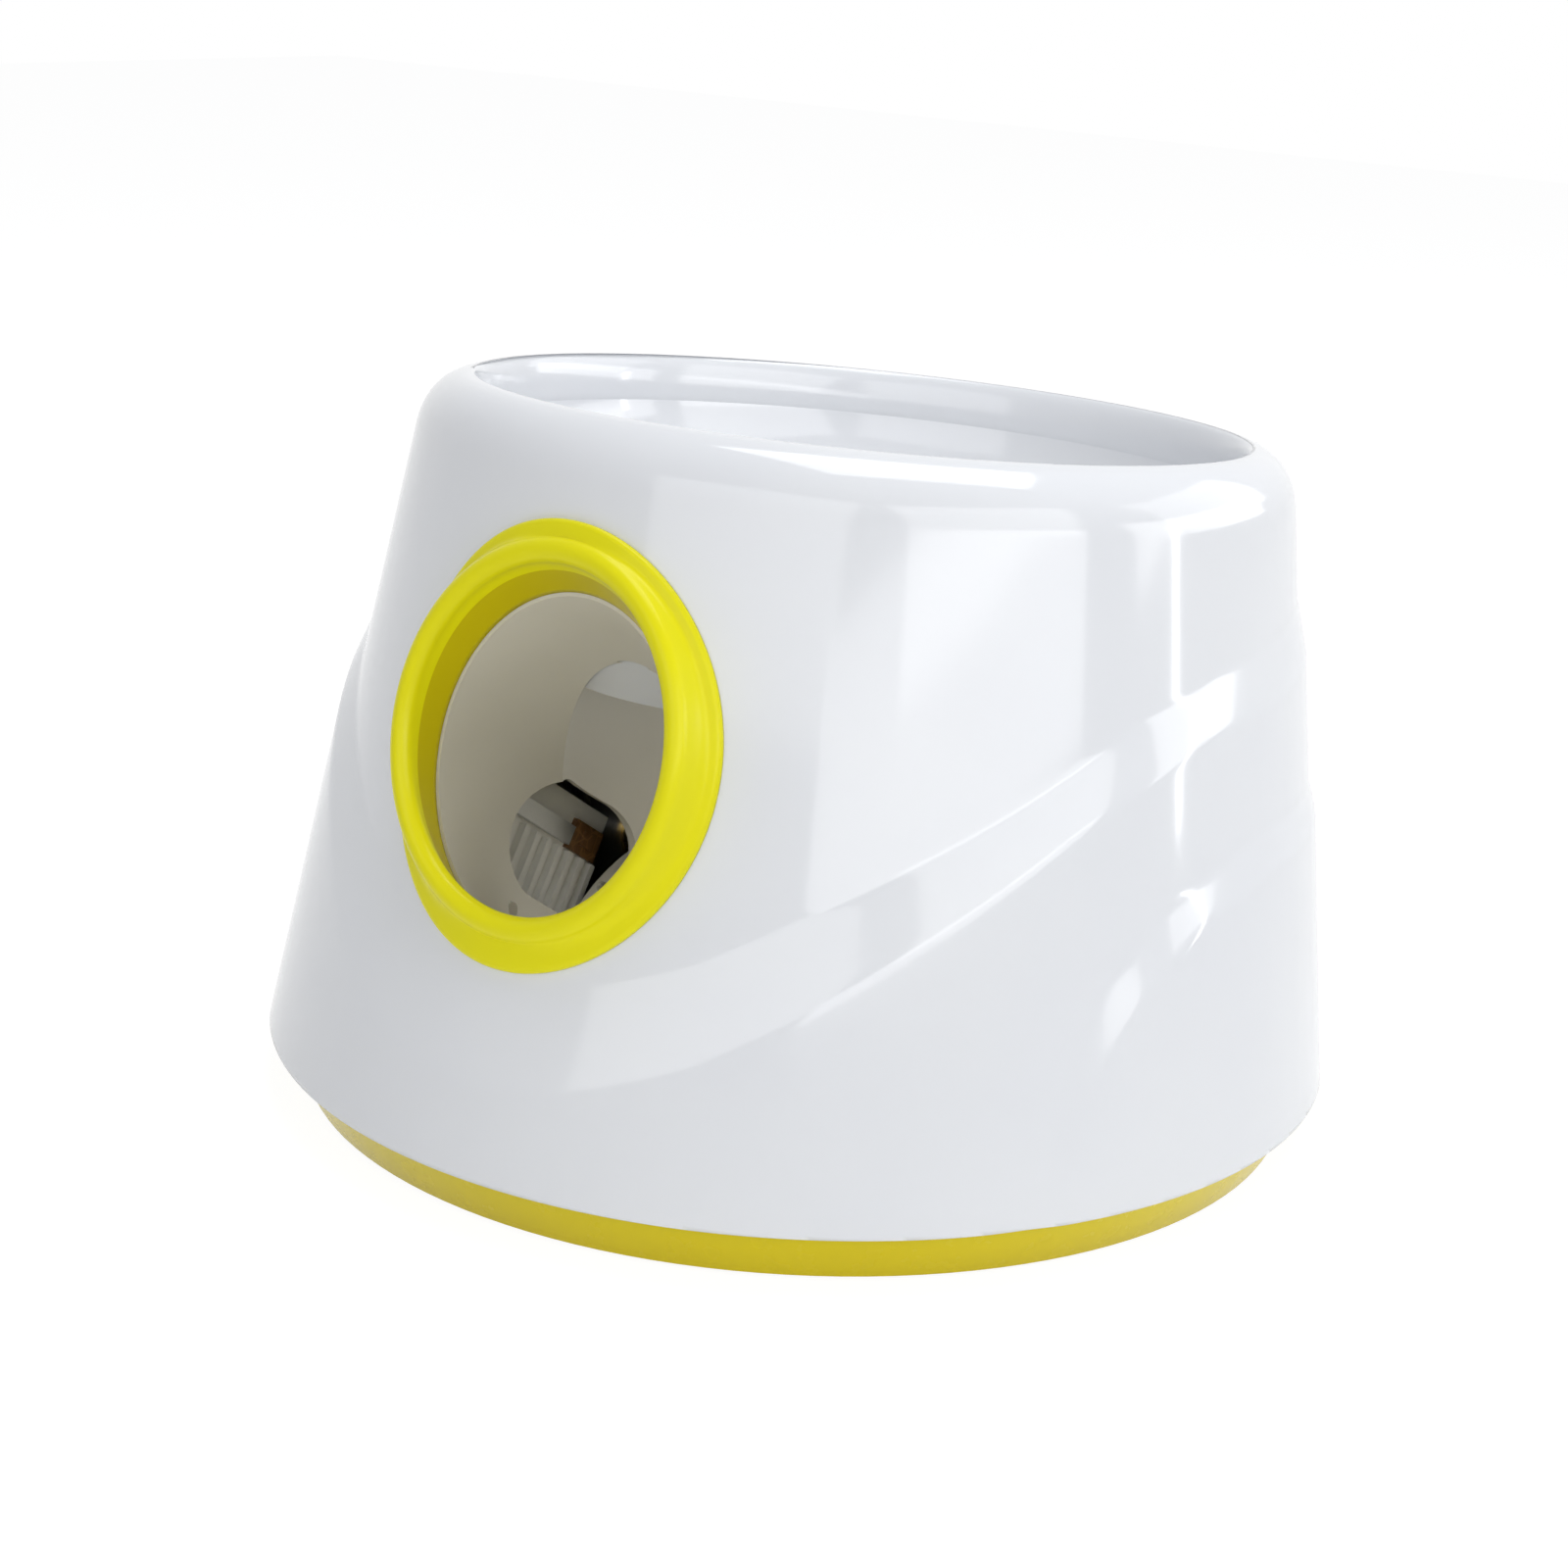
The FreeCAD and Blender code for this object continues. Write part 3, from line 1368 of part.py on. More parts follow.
def battery_strap():
    reach = battery_width / 2 + 10
    inner = battery_width / 2 + 0.5
    y_span = (battery_y - 6, battery_y + 6)
    top = floor_top + battery_height
    foot_level = floor_top + 6
    outer = box((battery_x - inner - 1.5, battery_x + inner + 1.5), y_span, (foot_level, top + 1.5))
    hollow = box((battery_x - inner, battery_x + inner), (y_span[0] - 1, y_span[1] + 1), (foot_level - 1, top))
    ears = box((battery_x - reach, battery_x + reach), y_span, (foot_level, foot_level + 1.5))
    solid = joined(outer, ears).cut(hollow)
    holes = [post(screw_radius, (0, 50), x, y) for x, y in strap_spots()]
    return without(solid, *holes)


def strap_screws():
    return group([screw(V(x, y, floor_top + 1), V(x, y, floor_top + 7.5)) for x, y in strap_spots()])


# ---------- rear panel ----------

face_radius = body_radius - panel_recess
panel_low = panel_height - 9.0
panel_high = panel_height + 6.0


def panel_y(x, z):
    return cone_y(x, z, face_radius, 1)


board_setback = 22.0
board_back_y = panel_y(0, panel_height) - board_setback


def rear_panel():
    back = (body_radius / 2, body_radius * 1.2)
    block = panel_prism(-slip_gap, back).common(cone_solid(face_radius, shell_start, rim_height))
    block = block.cut(cone_solid(inner_radius - 3, shell_start - 1, rim_height + 1))
    brim = panel_prism(panel_flange, back).common(cone_solid(inner_radius - slip_gap, shell_start, rim_height))
    brim = brim.cut(cone_solid(inner_radius - 2.5, shell_start - 1, rim_height + 1))
    hollow = panel_prism(-slip_gap - panel_rim, back).common(
        cone_solid(face_radius - panel_face / taper_cos, shell_start, rim_height))
    solid = joined(block, brim).cut(hollow)
    posts = []
    for x in (-36.0, 36.0):
        reach = panel_y(x, panel_height) - 1.0
        posts.append(rod(3.2, (board_back_y + board_thickness, reach), x, panel_height))
    solid = joined(solid, *posts)
    cuts = []
    for x in (power_button_x, distance_button_x):
        cuts.append(rod(button_radius + slip_gap, back, x, panel_height))
    for step in range(3):
        cuts.append(rod(lens_radius, back, 14 + lens_pitch * step, panel_high))
    cuts.append(rod(inlet_radius, back, 22.0, panel_low))
    for x in (-36.0, 36.0):
        cuts.append(rod(screw_radius, (board_back_y, board_back_y + 9), x, panel_height))
    return without(solid, *cuts)


def button(x):
    """A round cap with a retaining collar behind the panel and a stem to its switch."""
    face = panel_y(x, panel_height) + button_proud
    inside = panel_y(abs(x) + button_radius, panel_height) - panel_face - 1.6 - button_travel
    cap = rod(button_radius, (inside, face), x, panel_height)
    front = [edge for edge in cap.Edges if edge.Curve.TypeId == "Part::GeomCircle" and edge.BoundBox.YMin > face - 0.01]
    cap = cap.makeFillet(0.9, front)
    collar = rod(button_radius + 1.3, (inside - 1.2, inside), x, panel_height)
    stem = rod(2.0, (switch_top_y, inside - 1.0), x, panel_height)
    return joined(cap, collar, stem)


switch_top_y = board_back_y + board_thickness + switch_height + slip_gap + button_travel


def power_button():
    return button(power_button_x)


def distance_button():
    return button(distance_button_x)


def button_board():
    plate = box((-40, 40), (board_back_y, board_back_y + board_thickness), (panel_height - 6, panel_height + 6))
    holes = [rod(screw_radius, (board_back_y - 1, board_back_y + 5), x, panel_height) for x in (-36.0, 36.0)]
    return without(plate, *holes)


def button_switches():
    shapes = []
    for x in (power_button_x, distance_button_x):
        start = board_back_y + board_thickness
        body = box((x - 3, x + 3), (start, start + switch_height), (panel_height - 3, panel_height + 3))
        shapes.append(body.cut(rod(plunger_radius + shaft_gap, (start + 0.6, start + 5), x, panel_height)))
    return group(shapes)


def plunger(x):
    """A switch's plunger, which the button's stem rests on."""
    bottom = board_back_y + board_thickness + 0.6 + slip_gap + button_travel
    return rod(plunger_radius, (bottom, switch_top_y), x, panel_height)


def power_plunger():
    return plunger(power_button_x)


def distance_plunger():
    return plunger(distance_button_x)


def button_board_screws():
    shapes = []
    for x in (-36.0, 36.0):
        shapes.append(screw(V(x, board_back_y + 8, panel_height), V(x, board_back_y, panel_height)))
    return group(shapes)


def status_lenses():
    shapes = []
    for step in range(3):
        x = 14 + lens_pitch * step
        face = panel_y(x, panel_high) + 0.5
        dome = rod(lens_radius, (face - 6, face), x, panel_high)
        front = [edge for edge in dome.Edges
                 if edge.Curve.TypeId == "Part::GeomCircle" and edge.BoundBox.YMin > face - 0.01]
        shapes.append(dome.makeFillet(0.6, front))
    return group(shapes)


def power_inlet():
    """A barrel socket with its centre pin, facing back."""
    face = panel_y(22.0, panel_low) + 0.6
    barrel = rod(inlet_radius, (face - 13, face), 22.0, panel_low)
    barrel = barrel.cut(rod(2.8, (face - 10, face + 1), 22.0, panel_low))
    return joined(barrel, rod(1.0, (face - 10.5, face - 1), 22.0, panel_low))


nodes = {
    "outer_shell": outer_shell,
    "hopper": hopper,
    "port_ring": port_ring,
    "launch_chamber": launch_chamber,
    "end_wall": end_wall,
    "base_tray": base_tray,
    "rubber_feet": rubber_feet,
    "base_screws": base_screws,
    "hopper_screws": hopper_screws,
    "end_wall_screws": end_wall_screws,
    "leg_screws": leg_screws,
    "side_guard": side_guard,
    "guard_bar": guard_bar,
    "guard_screws": guard_screws,
    "sensor_board": sensor_board,
    "ball_sensor_emitter": lambda: ball_sensor(1),
    "ball_sensor_receiver": lambda: ball_sensor(-1),
    "gear_plate_inner": gear_plate_inner,
    "gear_plate_outer": gear_plate_outer,
    "plate_spacers": plate_spacers,
    "plate_screws": plate_screws,
    "shaft_bushes": shaft_bushes,
    "hammer_bracket": hammer_bracket,
    "bracket_screws": bracket_screws,
    "spring_bar": spring_bar,
    "hammer": hammer,
    "hammer_pad": hammer_pad,
    "hammer_shaft": hammer_shaft,
    "hammer_gear": hammer_gear,
    "spring_left": spring_left,
    "spring_right": spring_right,
    "stop_buffer": stop_buffer,
    "position_sensor": position_sensor,
    "hub_pin": hub_pin,
    "second_gear": second_gear,
    "first_gear": first_gear,
    "motor_pinion": motor_pinion,
    "motor_shaft": motor_shaft,
    "first_axle": first_axle,
    "second_axle": second_axle,
    "drive_motor": drive_motor,
    "motor_screws": motor_screws,
    "control_board": control_board,
    "board_screws": board_screws,
    "board_parts": board_parts,
    "board_connectors": board_connectors,
    "buzzer": buzzer,
    "battery_pack": battery_pack,
    "battery_strap": battery_strap,
    "strap_screws": strap_screws,
    "rear_panel": rear_panel,
    "power_button": power_button,
    "distance_button": distance_button,
    "button_board": button_board,
    "button_switches": button_switches,
    "power_plunger": power_plunger,
    "distance_plunger": distance_plunger,
    "button_board_screws": button_board_screws,
    "status_lenses": status_lenses,
    "power_inlet": power_inlet,
}


def write_parts():
    os.makedirs("parts", exist_ok=True)
    for name, build in nodes.items():
        shape = build()
        shape.exportStep("parts/" + name + ".step")
        print(name, len(shape.Solids), round(shape.Volume, 1), "valid" if shape.isValid() else "INVALID")


write_parts()
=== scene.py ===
import bmesh
import bpy
import json
import math
import numpy as np
from mathutils import Matrix, Vector


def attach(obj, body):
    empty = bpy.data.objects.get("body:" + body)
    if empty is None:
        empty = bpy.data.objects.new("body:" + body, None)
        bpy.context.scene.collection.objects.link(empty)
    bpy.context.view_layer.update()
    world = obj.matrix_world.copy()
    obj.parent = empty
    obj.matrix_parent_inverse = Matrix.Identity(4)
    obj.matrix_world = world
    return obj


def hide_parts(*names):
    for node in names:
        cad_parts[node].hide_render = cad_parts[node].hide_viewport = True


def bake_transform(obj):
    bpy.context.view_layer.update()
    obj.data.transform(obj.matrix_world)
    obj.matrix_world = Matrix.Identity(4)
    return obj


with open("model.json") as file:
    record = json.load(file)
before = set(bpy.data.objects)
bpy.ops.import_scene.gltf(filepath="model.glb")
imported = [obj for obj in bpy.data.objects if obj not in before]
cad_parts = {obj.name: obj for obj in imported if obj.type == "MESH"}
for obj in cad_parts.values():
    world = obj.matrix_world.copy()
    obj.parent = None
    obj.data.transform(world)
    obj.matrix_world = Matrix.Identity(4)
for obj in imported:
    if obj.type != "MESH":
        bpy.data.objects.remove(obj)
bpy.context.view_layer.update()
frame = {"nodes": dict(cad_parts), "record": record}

print("frame loaded:", len(frame["nodes"]), "nodes")

mm = 0.001


# places that the pieces share, in millimetres and degrees

body = {
    "radius": 143.0, "level": 17.0, "lean": 4.5, "taper": 8.78, "step": 3.0,
    "rimHeight": 166.7, "rimOuter": 11.0, "rimInner": 5.0, "lipDepth": 18.0, "wall": 3.0,
    "outerRound": (13.5, 18.0), "innerRound": (3.0, 11.0),
    "cutLevel": 15.5,
}
leanSin = math.sin(math.radians(body["lean"]))
leanCos = math.cos(math.radians(body["lean"]))
taperTan = math.tan(math.radians(body["taper"]))
taperCos = math.cos(math.radians(body["taper"]))
upperRadius = body["radius"] - body["step"]
coneRounds = 30    # enough for coneY to settle


def coneReach(radius, side):
    # how far the leaning cone reaches at its widest level, forward for -1 and back for 1
    along = side * radius * leanSin / (leanCos + side * taperTan * leanSin)
    return along * leanSin + side * (radius - taperTan * along) * leanCos


bodyShift = -(coneReach(body["radius"], -1) + coneReach(body["radius"], 1)) / 2


def fromBody(x, y, s):
    # the leaning axis: turned back about X, then set over the foot
    return np.stack([x, y * leanCos + s * leanSin + bodyShift,
                     -y * leanSin + s * leanCos + body["level"]], -1)


def coneY(x, z, radius):
    # the front of the leaning cone at a given X and height, by repeated substitution
    level = z - body["level"]
    y = -radius * np.ones_like(x + z)
    for _ in range(coneRounds):
        along = y * leanSin + level * leanCos
        across = -np.sqrt(np.maximum((radius - taperTan * along) ** 2 - x * x, 0))
        y = (across + level * leanSin) / leanCos
    return y + bodyShift


def smoothStep(t):
    # 0 to 1 with flat ends, by the cubic 3t^2 - 2t^3
    t = np.clip(t, 0, 1)
    return t * t * (3 - 2 * t)


def softRamp(t, ease):
    # 0 below the ramp, 1 above it, straight in between, with both corners eased by a parabola
    t = np.asarray(t, float)
    low = np.where(t < -ease, 0, np.where(t < ease, (t + ease) ** 2 / (4 * ease), t))
    over = t - 1
    high = np.where(over < -ease, 0, np.where(over < ease, (over + ease) ** 2 / (4 * ease), over))
    return low - high


def smoothCurve(angle, points, blur):
    # a line through points, rounded by averaging it over a few degrees
    xs = np.array([p[0] for p in points], float)
    ys = np.array([p[1] for p in points], float)
    total = np.zeros_like(angle, dtype=float)
    offsets = np.linspace(-2, 2, 9)
    weights = np.exp(-offsets ** 2)
    for offset, weight in zip(offsets, weights):
        total += weight * np.interp(angle + offset * blur, xs, ys)
    return total / weights.sum()


# mesh from grids

def gridMesh(name, points, closeV=True):
    # points is rows by columns by xyz, closed along the columns; a face joins each point to its three
    # neighbours ahead, and all faces turn outwards by the sign of the volume they sweep about their middle
    rows, cols = points.shape[:2]
    index = np.arange(rows * cols).reshape(rows, cols)
    right = np.roll(index, -1, 1)
    up = np.roll(index, -1, 0)
    upRight = np.roll(up, -1, 1)
    quads = np.stack([index, right, upRight, up], -1)
    if not closeV:
        quads = quads[:-1]
    quads = quads.reshape(-1, 4)
    corners = points.reshape(-1, 3)[quads]
    middle = corners.mean((0, 1))
    corners = corners - middle
    swept = np.einsum("ij,ij->i", np.cross(corners[:, 0], corners[:, 1]), corners[:, 2]).sum()
    swept += np.einsum("ij,ij->i", np.cross(corners[:, 0], corners[:, 2]), corners[:, 3]).sum()
    if swept < 0:
        quads = quads[:, ::-1]
    mesh = bpy.data.meshes.new(name)
    flat = points.reshape(-1, 3) * mm
    mesh.vertices.add(len(flat))
    mesh.vertices.foreach_set("co", flat.ravel())
    mesh.loops.add(quads.size)
    mesh.loops.foreach_set("vertex_index", quads.ravel().astype(np.int32))
    mesh.polygons.add(len(quads))
    mesh.polygons.foreach_set("loop_start", np.arange(0, quads.size, 4, dtype=np.int32))
    mesh.polygons.foreach_set("use_smooth", np.ones(len(quads), bool))
    mesh.update(calc_edges=True)
    mesh.validate()
    piece = bpy.data.objects.new(name, mesh)
    bpy.context.scene.collection.objects.link(piece)
    return piece


def applyModifiers(piece):
    depsgraph = bpy.context.evaluated_depsgraph_get()
    mesh = bpy.data.meshes.new_from_object(piece.evaluated_get(depsgraph))
    piece.modifiers.clear()
    piece.data = mesh


def cutWith(piece, cutter):
    cut = piece.modifiers.new("cut", "BOOLEAN")
    cut.operation = "DIFFERENCE"
    cut.solver = "EXACT"
    cut.object = cutter
    applyModifiers(piece)
    bpy.data.objects.remove(cutter)


# materials

def newMaterial(name):
    mat = bpy.data.materials.new(name)
    mat.use_nodes = True
    tree = mat.node_tree
    return mat, tree.nodes, tree.links, tree.nodes["Principled BSDF"]


def noise(nodes, links, scale, detail=3.0, stretch=None):
    coord = nodes.new("ShaderNodeTexCoord")
    place = coord.outputs["Object"]
    if stretch:
        mapping = nodes.new("ShaderNodeMapping")
        mapping.inputs["Scale"].default_value = stretch
        links.new(place, mapping.inputs["Vector"])
        place = mapping.outputs["Vector"]
    tex = nodes.new("ShaderNodeTexNoise")
    tex.inputs["Scale"].default_value = scale
    tex.inputs["Detail"].default_value = detail
    links.new(place, tex.inputs["Vector"])
    return tex


def colourMix(nodes, links, low, high, factor, contrast=(0.35, 0.65)):
    ramp = nodes.new("ShaderNodeValToRGB")
    ramp.color_ramp.elements[0].position = contrast[0]
    ramp.color_ramp.elements[1].position = contrast[1]
    ramp.color_ramp.elements[0].color = (*low, 1)
    ramp.color_ramp.elements[1].color = (*high, 1)
    links.new(factor, ramp.inputs["Fac"])
    return ramp


def glossFrom(nodes, links, shader, factor, roughness, spread):
    # roughness that wanders between two shares of its own value
    rough = nodes.new("ShaderNodeMapRange")
    rough.inputs["To Min"].default_value = roughness * spread[0]
    rough.inputs["To Max"].default_value = roughness * spread[1]
    links.new(factor, rough.inputs["Value"])
    links.new(rough.outputs["Result"], shader.inputs["Roughness"])


def bumpFrom(nodes, links, height, strength, depth, under=None):
    # a bump, laid over the one under it if there is one
    bump = nodes.new("ShaderNodeBump")
    bump.inputs["Strength"].default_value = strength
    bump.inputs["Distance"].default_value = depth
    links.new(height, bump.inputs["Height"])
    if under:
        links.new(under.outputs["Normal"], bump.inputs["Normal"])
    return bump


plasticLook = {
    "driftScale": 18.0, "glossScale": 160.0, "glossSpread": (0.85, 1.2), "coatRoughness": 0.04,
    "glowDepth": 0.004, "waveDepth": 0.0006, "grainDepth": 0.00008,
}


def mouldedPlastic(name, colour, shade, roughness, coat=0.0, grain=0.0, grainScale=2500.0,
                   wave=0.0, waveScale=30.0, subsurface=0.0, shine=0.5):
    # moulded plastic: faint drift of colour and gloss, a slow waviness of the wall and an optional fine grain
    look = plasticLook
    mat, nodes, links, shader = newMaterial(name)
    drift = noise(nodes, links, look["driftScale"], 2.0)
    tint = colourMix(nodes, links, shade, colour, drift.outputs["Fac"])
    links.new(tint.outputs["Color"], shader.inputs["Base Color"])
    fine = noise(nodes, links, look["glossScale"], 4.0)
    glossFrom(nodes, links, shader, fine.outputs["Fac"], roughness, look["glossSpread"])
    shader.inputs["Specular IOR Level"].default_value = shine
    shader.inputs["Coat Weight"].default_value = coat
    shader.inputs["Coat Roughness"].default_value = look["coatRoughness"]
    shader.inputs["Subsurface Weight"].default_value = subsurface
    shader.inputs["Subsurface Scale"].default_value = look["glowDepth"]
    bump = None
    if wave:
        slow = noise(nodes, links, waveScale, 1.0)
        bump = bumpFrom(nodes, links, slow.outputs["Fac"], wave, look["waveDepth"])
    if grain:
        pits = noise(nodes, links, grainScale, 2.0)
        bump = bumpFrom(nodes, links, pits.outputs["Fac"], grain, look["grainDepth"], bump)
    if bump:
        links.new(bump.outputs["Normal"], shader.inputs["Normal"])
    return mat


metalLook = {"streakScale": 900.0, "glossSpread": (0.7, 1.3), "bump": 0.15, "bumpDepth": 0.00005}


def workedMetal(name, colour, shade, roughness, stretch=(1, 1, 1)):
    # metal with fine streaks along its rolled or turned direction
    look = metalLook
    mat, nodes, links, shader = newMaterial(name)
    shader.inputs["Metallic"].default_value = 1.0
    streaks = noise(nodes, links, look["streakScale"], stretch=stretch)
    tint = colourMix(nodes, links, shade, colour, streaks.outputs["Fac"])
    links.new(tint.outputs["Color"], shader.inputs["Base Color"])
    glossFrom(nodes, links, shader, streaks.outputs["Fac"], roughness, look["glossSpread"])
    bump = bumpFrom(nodes, links, streaks.outputs["Fac"], look["bump"], look["bumpDepth"])
    links.new(bump.outputs["Normal"], shader.inputs["Normal"])
    return mat


boardLook = {
    "trackScale": 260.0, "trackEdge": (0.04, 0.07), "roughness": 0.35, "bump": 0.2, "bumpDepth": 0.00005,
}


def circuitBoard(name, base, track):
    # solder mask with faint copper tracks under it
    look = boardLook
    mat, nodes, links, shader = newMaterial(name)
    coord = nodes.new("ShaderNodeTexCoord")
    cells = nodes.new("ShaderNodeTexVoronoi")
    cells.feature = "DISTANCE_TO_EDGE"
    cells.inputs["Scale"].default_value = look["trackScale"]
    links.new(coord.outputs["Object"], cells.inputs["Vector"])
    tint = colourMix(nodes, links, track, base, cells.outputs["Distance"], look["trackEdge"])
    links.new(tint.outputs["Color"], shader.inputs["Base Color"])
    shader.inputs["Roughness"].default_value = look["roughness"]
    bump = bumpFrom(nodes, links, cells.outputs["Distance"], look["bump"], look["bumpDepth"])
    links.new(bump.outputs["Normal"], shader.inputs["Normal"])
    return mat


finishes = {
    "white_shell": mouldedPlastic("glossWhite", (0.76, 0.775, 0.80), (0.745, 0.76, 0.79), 0.10,
                                  coat=0.15, wave=0.05),
    "yellow_trim": mouldedPlastic("glossYellow", (0.80, 0.745, 0.004), (0.78, 0.725, 0.004), 0.24,
                                  wave=0.05, shine=0.18),
    # a darker copy of the yellow trim: painted shade for the port's bore, where little light reaches
    "bore_painted_shade": mouldedPlastic("borePaintedShade", (0.60, 0.50, 0.003), (0.58, 0.48, 0.003), 0.24,
                                  wave=0.05, shine=0.18),
    # a darker, warmer copy of the yellow trim: painted shade for the lower light on the tray at the foot
    "tray_painted_shade": mouldedPlastic("trayPaintedShade", (0.71, 0.58, 0.006), (0.69, 0.56, 0.005), 0.26,
                                  wave=0.05, shine=0.16),
    # grey-beige, darker and yellower than the white plastic: painted shade, with the yellow ring's reflection
    # painted in
    "chamber_plastic": mouldedPlastic("chamberPaintedShade", (0.66, 0.63, 0.54), (0.62, 0.59, 0.50), 0.34,
                                      grain=0.15),
    # a whiter copy of the chamber plastic for the side guard: painted light, standing in for light its shaded
    # ribs lack
    "guard_painted_light": mouldedPlastic("guardPaintedLight", (0.86, 0.85, 0.80), (0.83, 0.82, 0.77), 0.30, grain=0.1),
    "milky_lens": mouldedPlastic("milkyLens", (0.56, 0.54, 0.47), (0.53, 0.51, 0.44), 0.20, subsurface=0.2),
    "black_rubber": mouldedPlastic("blackRubber", (0.025, 0.025, 0.026), (0.018, 0.018, 0.019), 0.75,
                                   grain=0.5, grainScale=1800.0),
    "screw_steel": workedMetal("zincSteel", (0.62, 0.62, 0.60), (0.50, 0.50, 0.49), 0.28),
    "bar_metal": workedMetal("satinAluminium", (0.70, 0.71, 0.72), (0.60, 0.61, 0.62), 0.35, (1, 12, 12)),
    "brown_board": circuitBoard("brownLaminate", (0.16, 0.075, 0.025), (0.24, 0.12, 0.04)),
    "dark_plastic": mouldedPlastic("grainedBlack", (0.035, 0.035, 0.038), (0.028, 0.028, 0.03), 0.42,
                                   grain=0.4),
    "plate_steel": workedMetal("rolledSteel", (0.56, 0.56, 0.55), (0.46, 0.46, 0.45), 0.33, (1, 14, 1)),
    "bush_brass": workedMetal("turnedBrass", (0.78, 0.57, 0.22), (0.66, 0.46, 0.17), 0.25, (14, 1, 1)),
    "gear_plastic": mouldedPlastic("naturalAcetal", (0.80, 0.78, 0.70), (0.77, 0.75, 0.67), 0.38, grain=0.15,
                                   subsurface=0.1),
    "spring_steel": workedMetal("springWire", (0.42, 0.42, 0.43), (0.32, 0.32, 0.33), 0.30),
    "green_board": circuitBoard("greenMask", (0.012, 0.10, 0.035), (0.02, 0.16, 0.05)),
    "battery_wrap": mouldedPlastic("shrinkWrap", (0.02, 0.06, 0.26), (0.015, 0.05, 0.22), 0.18, wave=0.25,
                                   waveScale=120.0),
    "panel_plastic": mouldedPlastic("grainedGrey", (0.30, 0.31, 0.32), (0.28, 0.29, 0.30), 0.45, grain=0.35),
    "button_plastic": mouldedPlastic("glossButton", (0.80, 0.81, 0.82), (0.78, 0.79, 0.80), 0.16,
                                     coat=0.3, wave=0.03),
    "lens_green": mouldedPlastic("greenLens", (0.28, 0.52, 0.20), (0.24, 0.46, 0.17), 0.12,
                                 coat=0.5, subsurface=0.3),
}

slotOf = {row["node"]: row["material_slot"] for row in frame["record"]["subparts"]}
# the base tray takes the darker copy of the yellow trim, which is painted shade
# the side guard takes the whiter copy of the chamber plastic, which is painted light
ownFinish = {"base_tray": "tray_painted_shade", "side_guard": "guard_painted_light", "ball_sensor_emitter": "milky_lens",
             "ball_sensor_receiver": "milky_lens"}
for nodeName, node in frame["nodes"].items():
    node.data.materials.clear()
    node.data.materials.append(finishes[ownFinish.get(nodeName, slotOf[nodeName])])
print("materials on the carried-over nodes")


# housing

shellShape = {
    "turns": 480, "rows": 150, "rimRows": 20, "innerRows": 10,
    "bottom": -20.0, "wallRows": 8, "wallTopDrop": 8.0,
    # the first ledge's depth goes from front to back by angle; a fade is where it starts and how wide it is
    "frontStep": 3.2, "backStep": 2.0, "frontFade": (30, 60), "backFrom": 90, "backFade": (100, 60),
    "secondStep": 1.6, "secondFade": (48, 22),
    "edgeEase": 0.06, "blur": 2.5, "secondEase": 0.08, "secondBlur": 1.5,
    # each line is angle from the port against height up the body
    "upperRight": [(-4, 33.8), (7, 35.2), (21, 46.5), (35, 64.4), (50, 84.1), (67, 106.0), (83.5, 119.5),
                   (115, 129.7), (150, 132.5), (180, 133.0), (215, 132.0)],
    "lowerRight": [(-4, 9.2), (11.5, 12.5), (23, 24.5), (36, 45.2), (45, 60.0), (60.5, 84.5), (78, 103.2),
                   (107.5, 115.2), (150, 119.0), (180, 119.5), (215, 118.5)],
    "leftShrink": 0.88, "leftTail": 0.2,
    "secondUpper": [(54, -30), (61.3, 34), (64.6, 48), (73.6, 66), (87.4, 77.5), (105.4, 81.5),
                    (130, 83), (180, 84)],
    "secondLower": [(57.5, -30), (64.5, 28), (68.3, 43), (78.2, 60.5), (92.1, 70.0), (109, 73.5),
                    (132, 75), (180, 76)],
}
rimCentre = body["rimHeight"] - body["rimOuter"]
rimRadius = upperRadius - taperTan * rimCentre - body["rimOuter"] / taperCos
lipRadius = rimRadius - body["rimInner"]


def sweepLine(angle, points):
    # angle runs from -180 to 180 from the port; the left side takes the right's line, drawn in to the front
    s = shellShape
    away = np.where(angle < 0, -angle / s["leftShrink"], angle)
    away = np.where(angle < 0, np.minimum(away, 180 + (away - 180) * s["leftTail"]), away)
    mirrored = [(-p[0], p[1]) for p in points[1:4]][::-1]
    return smoothCurve(away, mirrored + points, s["blur"])


def fade(angle, place):
    # a smooth step from where the fade starts to its width further on
    return smoothStep((angle - place[0]) / place[1])


def stepsBelow(angle):
    # how deep each ledge is by angle, and how far the upper wall stands in from the foot's own cone
    s = shellShape
    away = np.abs(angle)
    first = s["frontStep"] + (s["backStep"] - s["frontStep"]) * fade(angle, s["frontFade"])
    eased = first + (s["backStep"] - first) * fade(away, s["backFade"])
    first = np.where(away > s["backFrom"], eased, first)
    second = s["secondStep"] * fade(away, s["secondFade"])
    return first, second, first + second


def shellRadius(angle, along):
    # the cone, plus a step below each sweeping ledge; each ledge ramps from its upper line to its lower one
    s = shellShape
    upper = sweepLine(angle, s["upperRight"])
    lower = sweepLine(angle, s["lowerRight"])
    away = np.abs(angle)
    first, second, total = stepsBelow(angle)
    ramp = softRamp((upper - along) / (upper - lower), s["edgeEase"])
    radius = body["radius"] - total - taperTan * along + first * ramp
    # the second ledge falls steeply at its front end, so its lines are smoothed by angle
    highTwo = smoothCurve(away, s["secondUpper"], s["secondBlur"])
    lowTwo = smoothCurve(away, s["secondLower"], s["secondBlur"])
    rampTwo = softRamp((highTwo - along) / np.maximum(highTwo - lowTwo, 1e-6), s["secondEase"])
    return radius + second * rampTwo


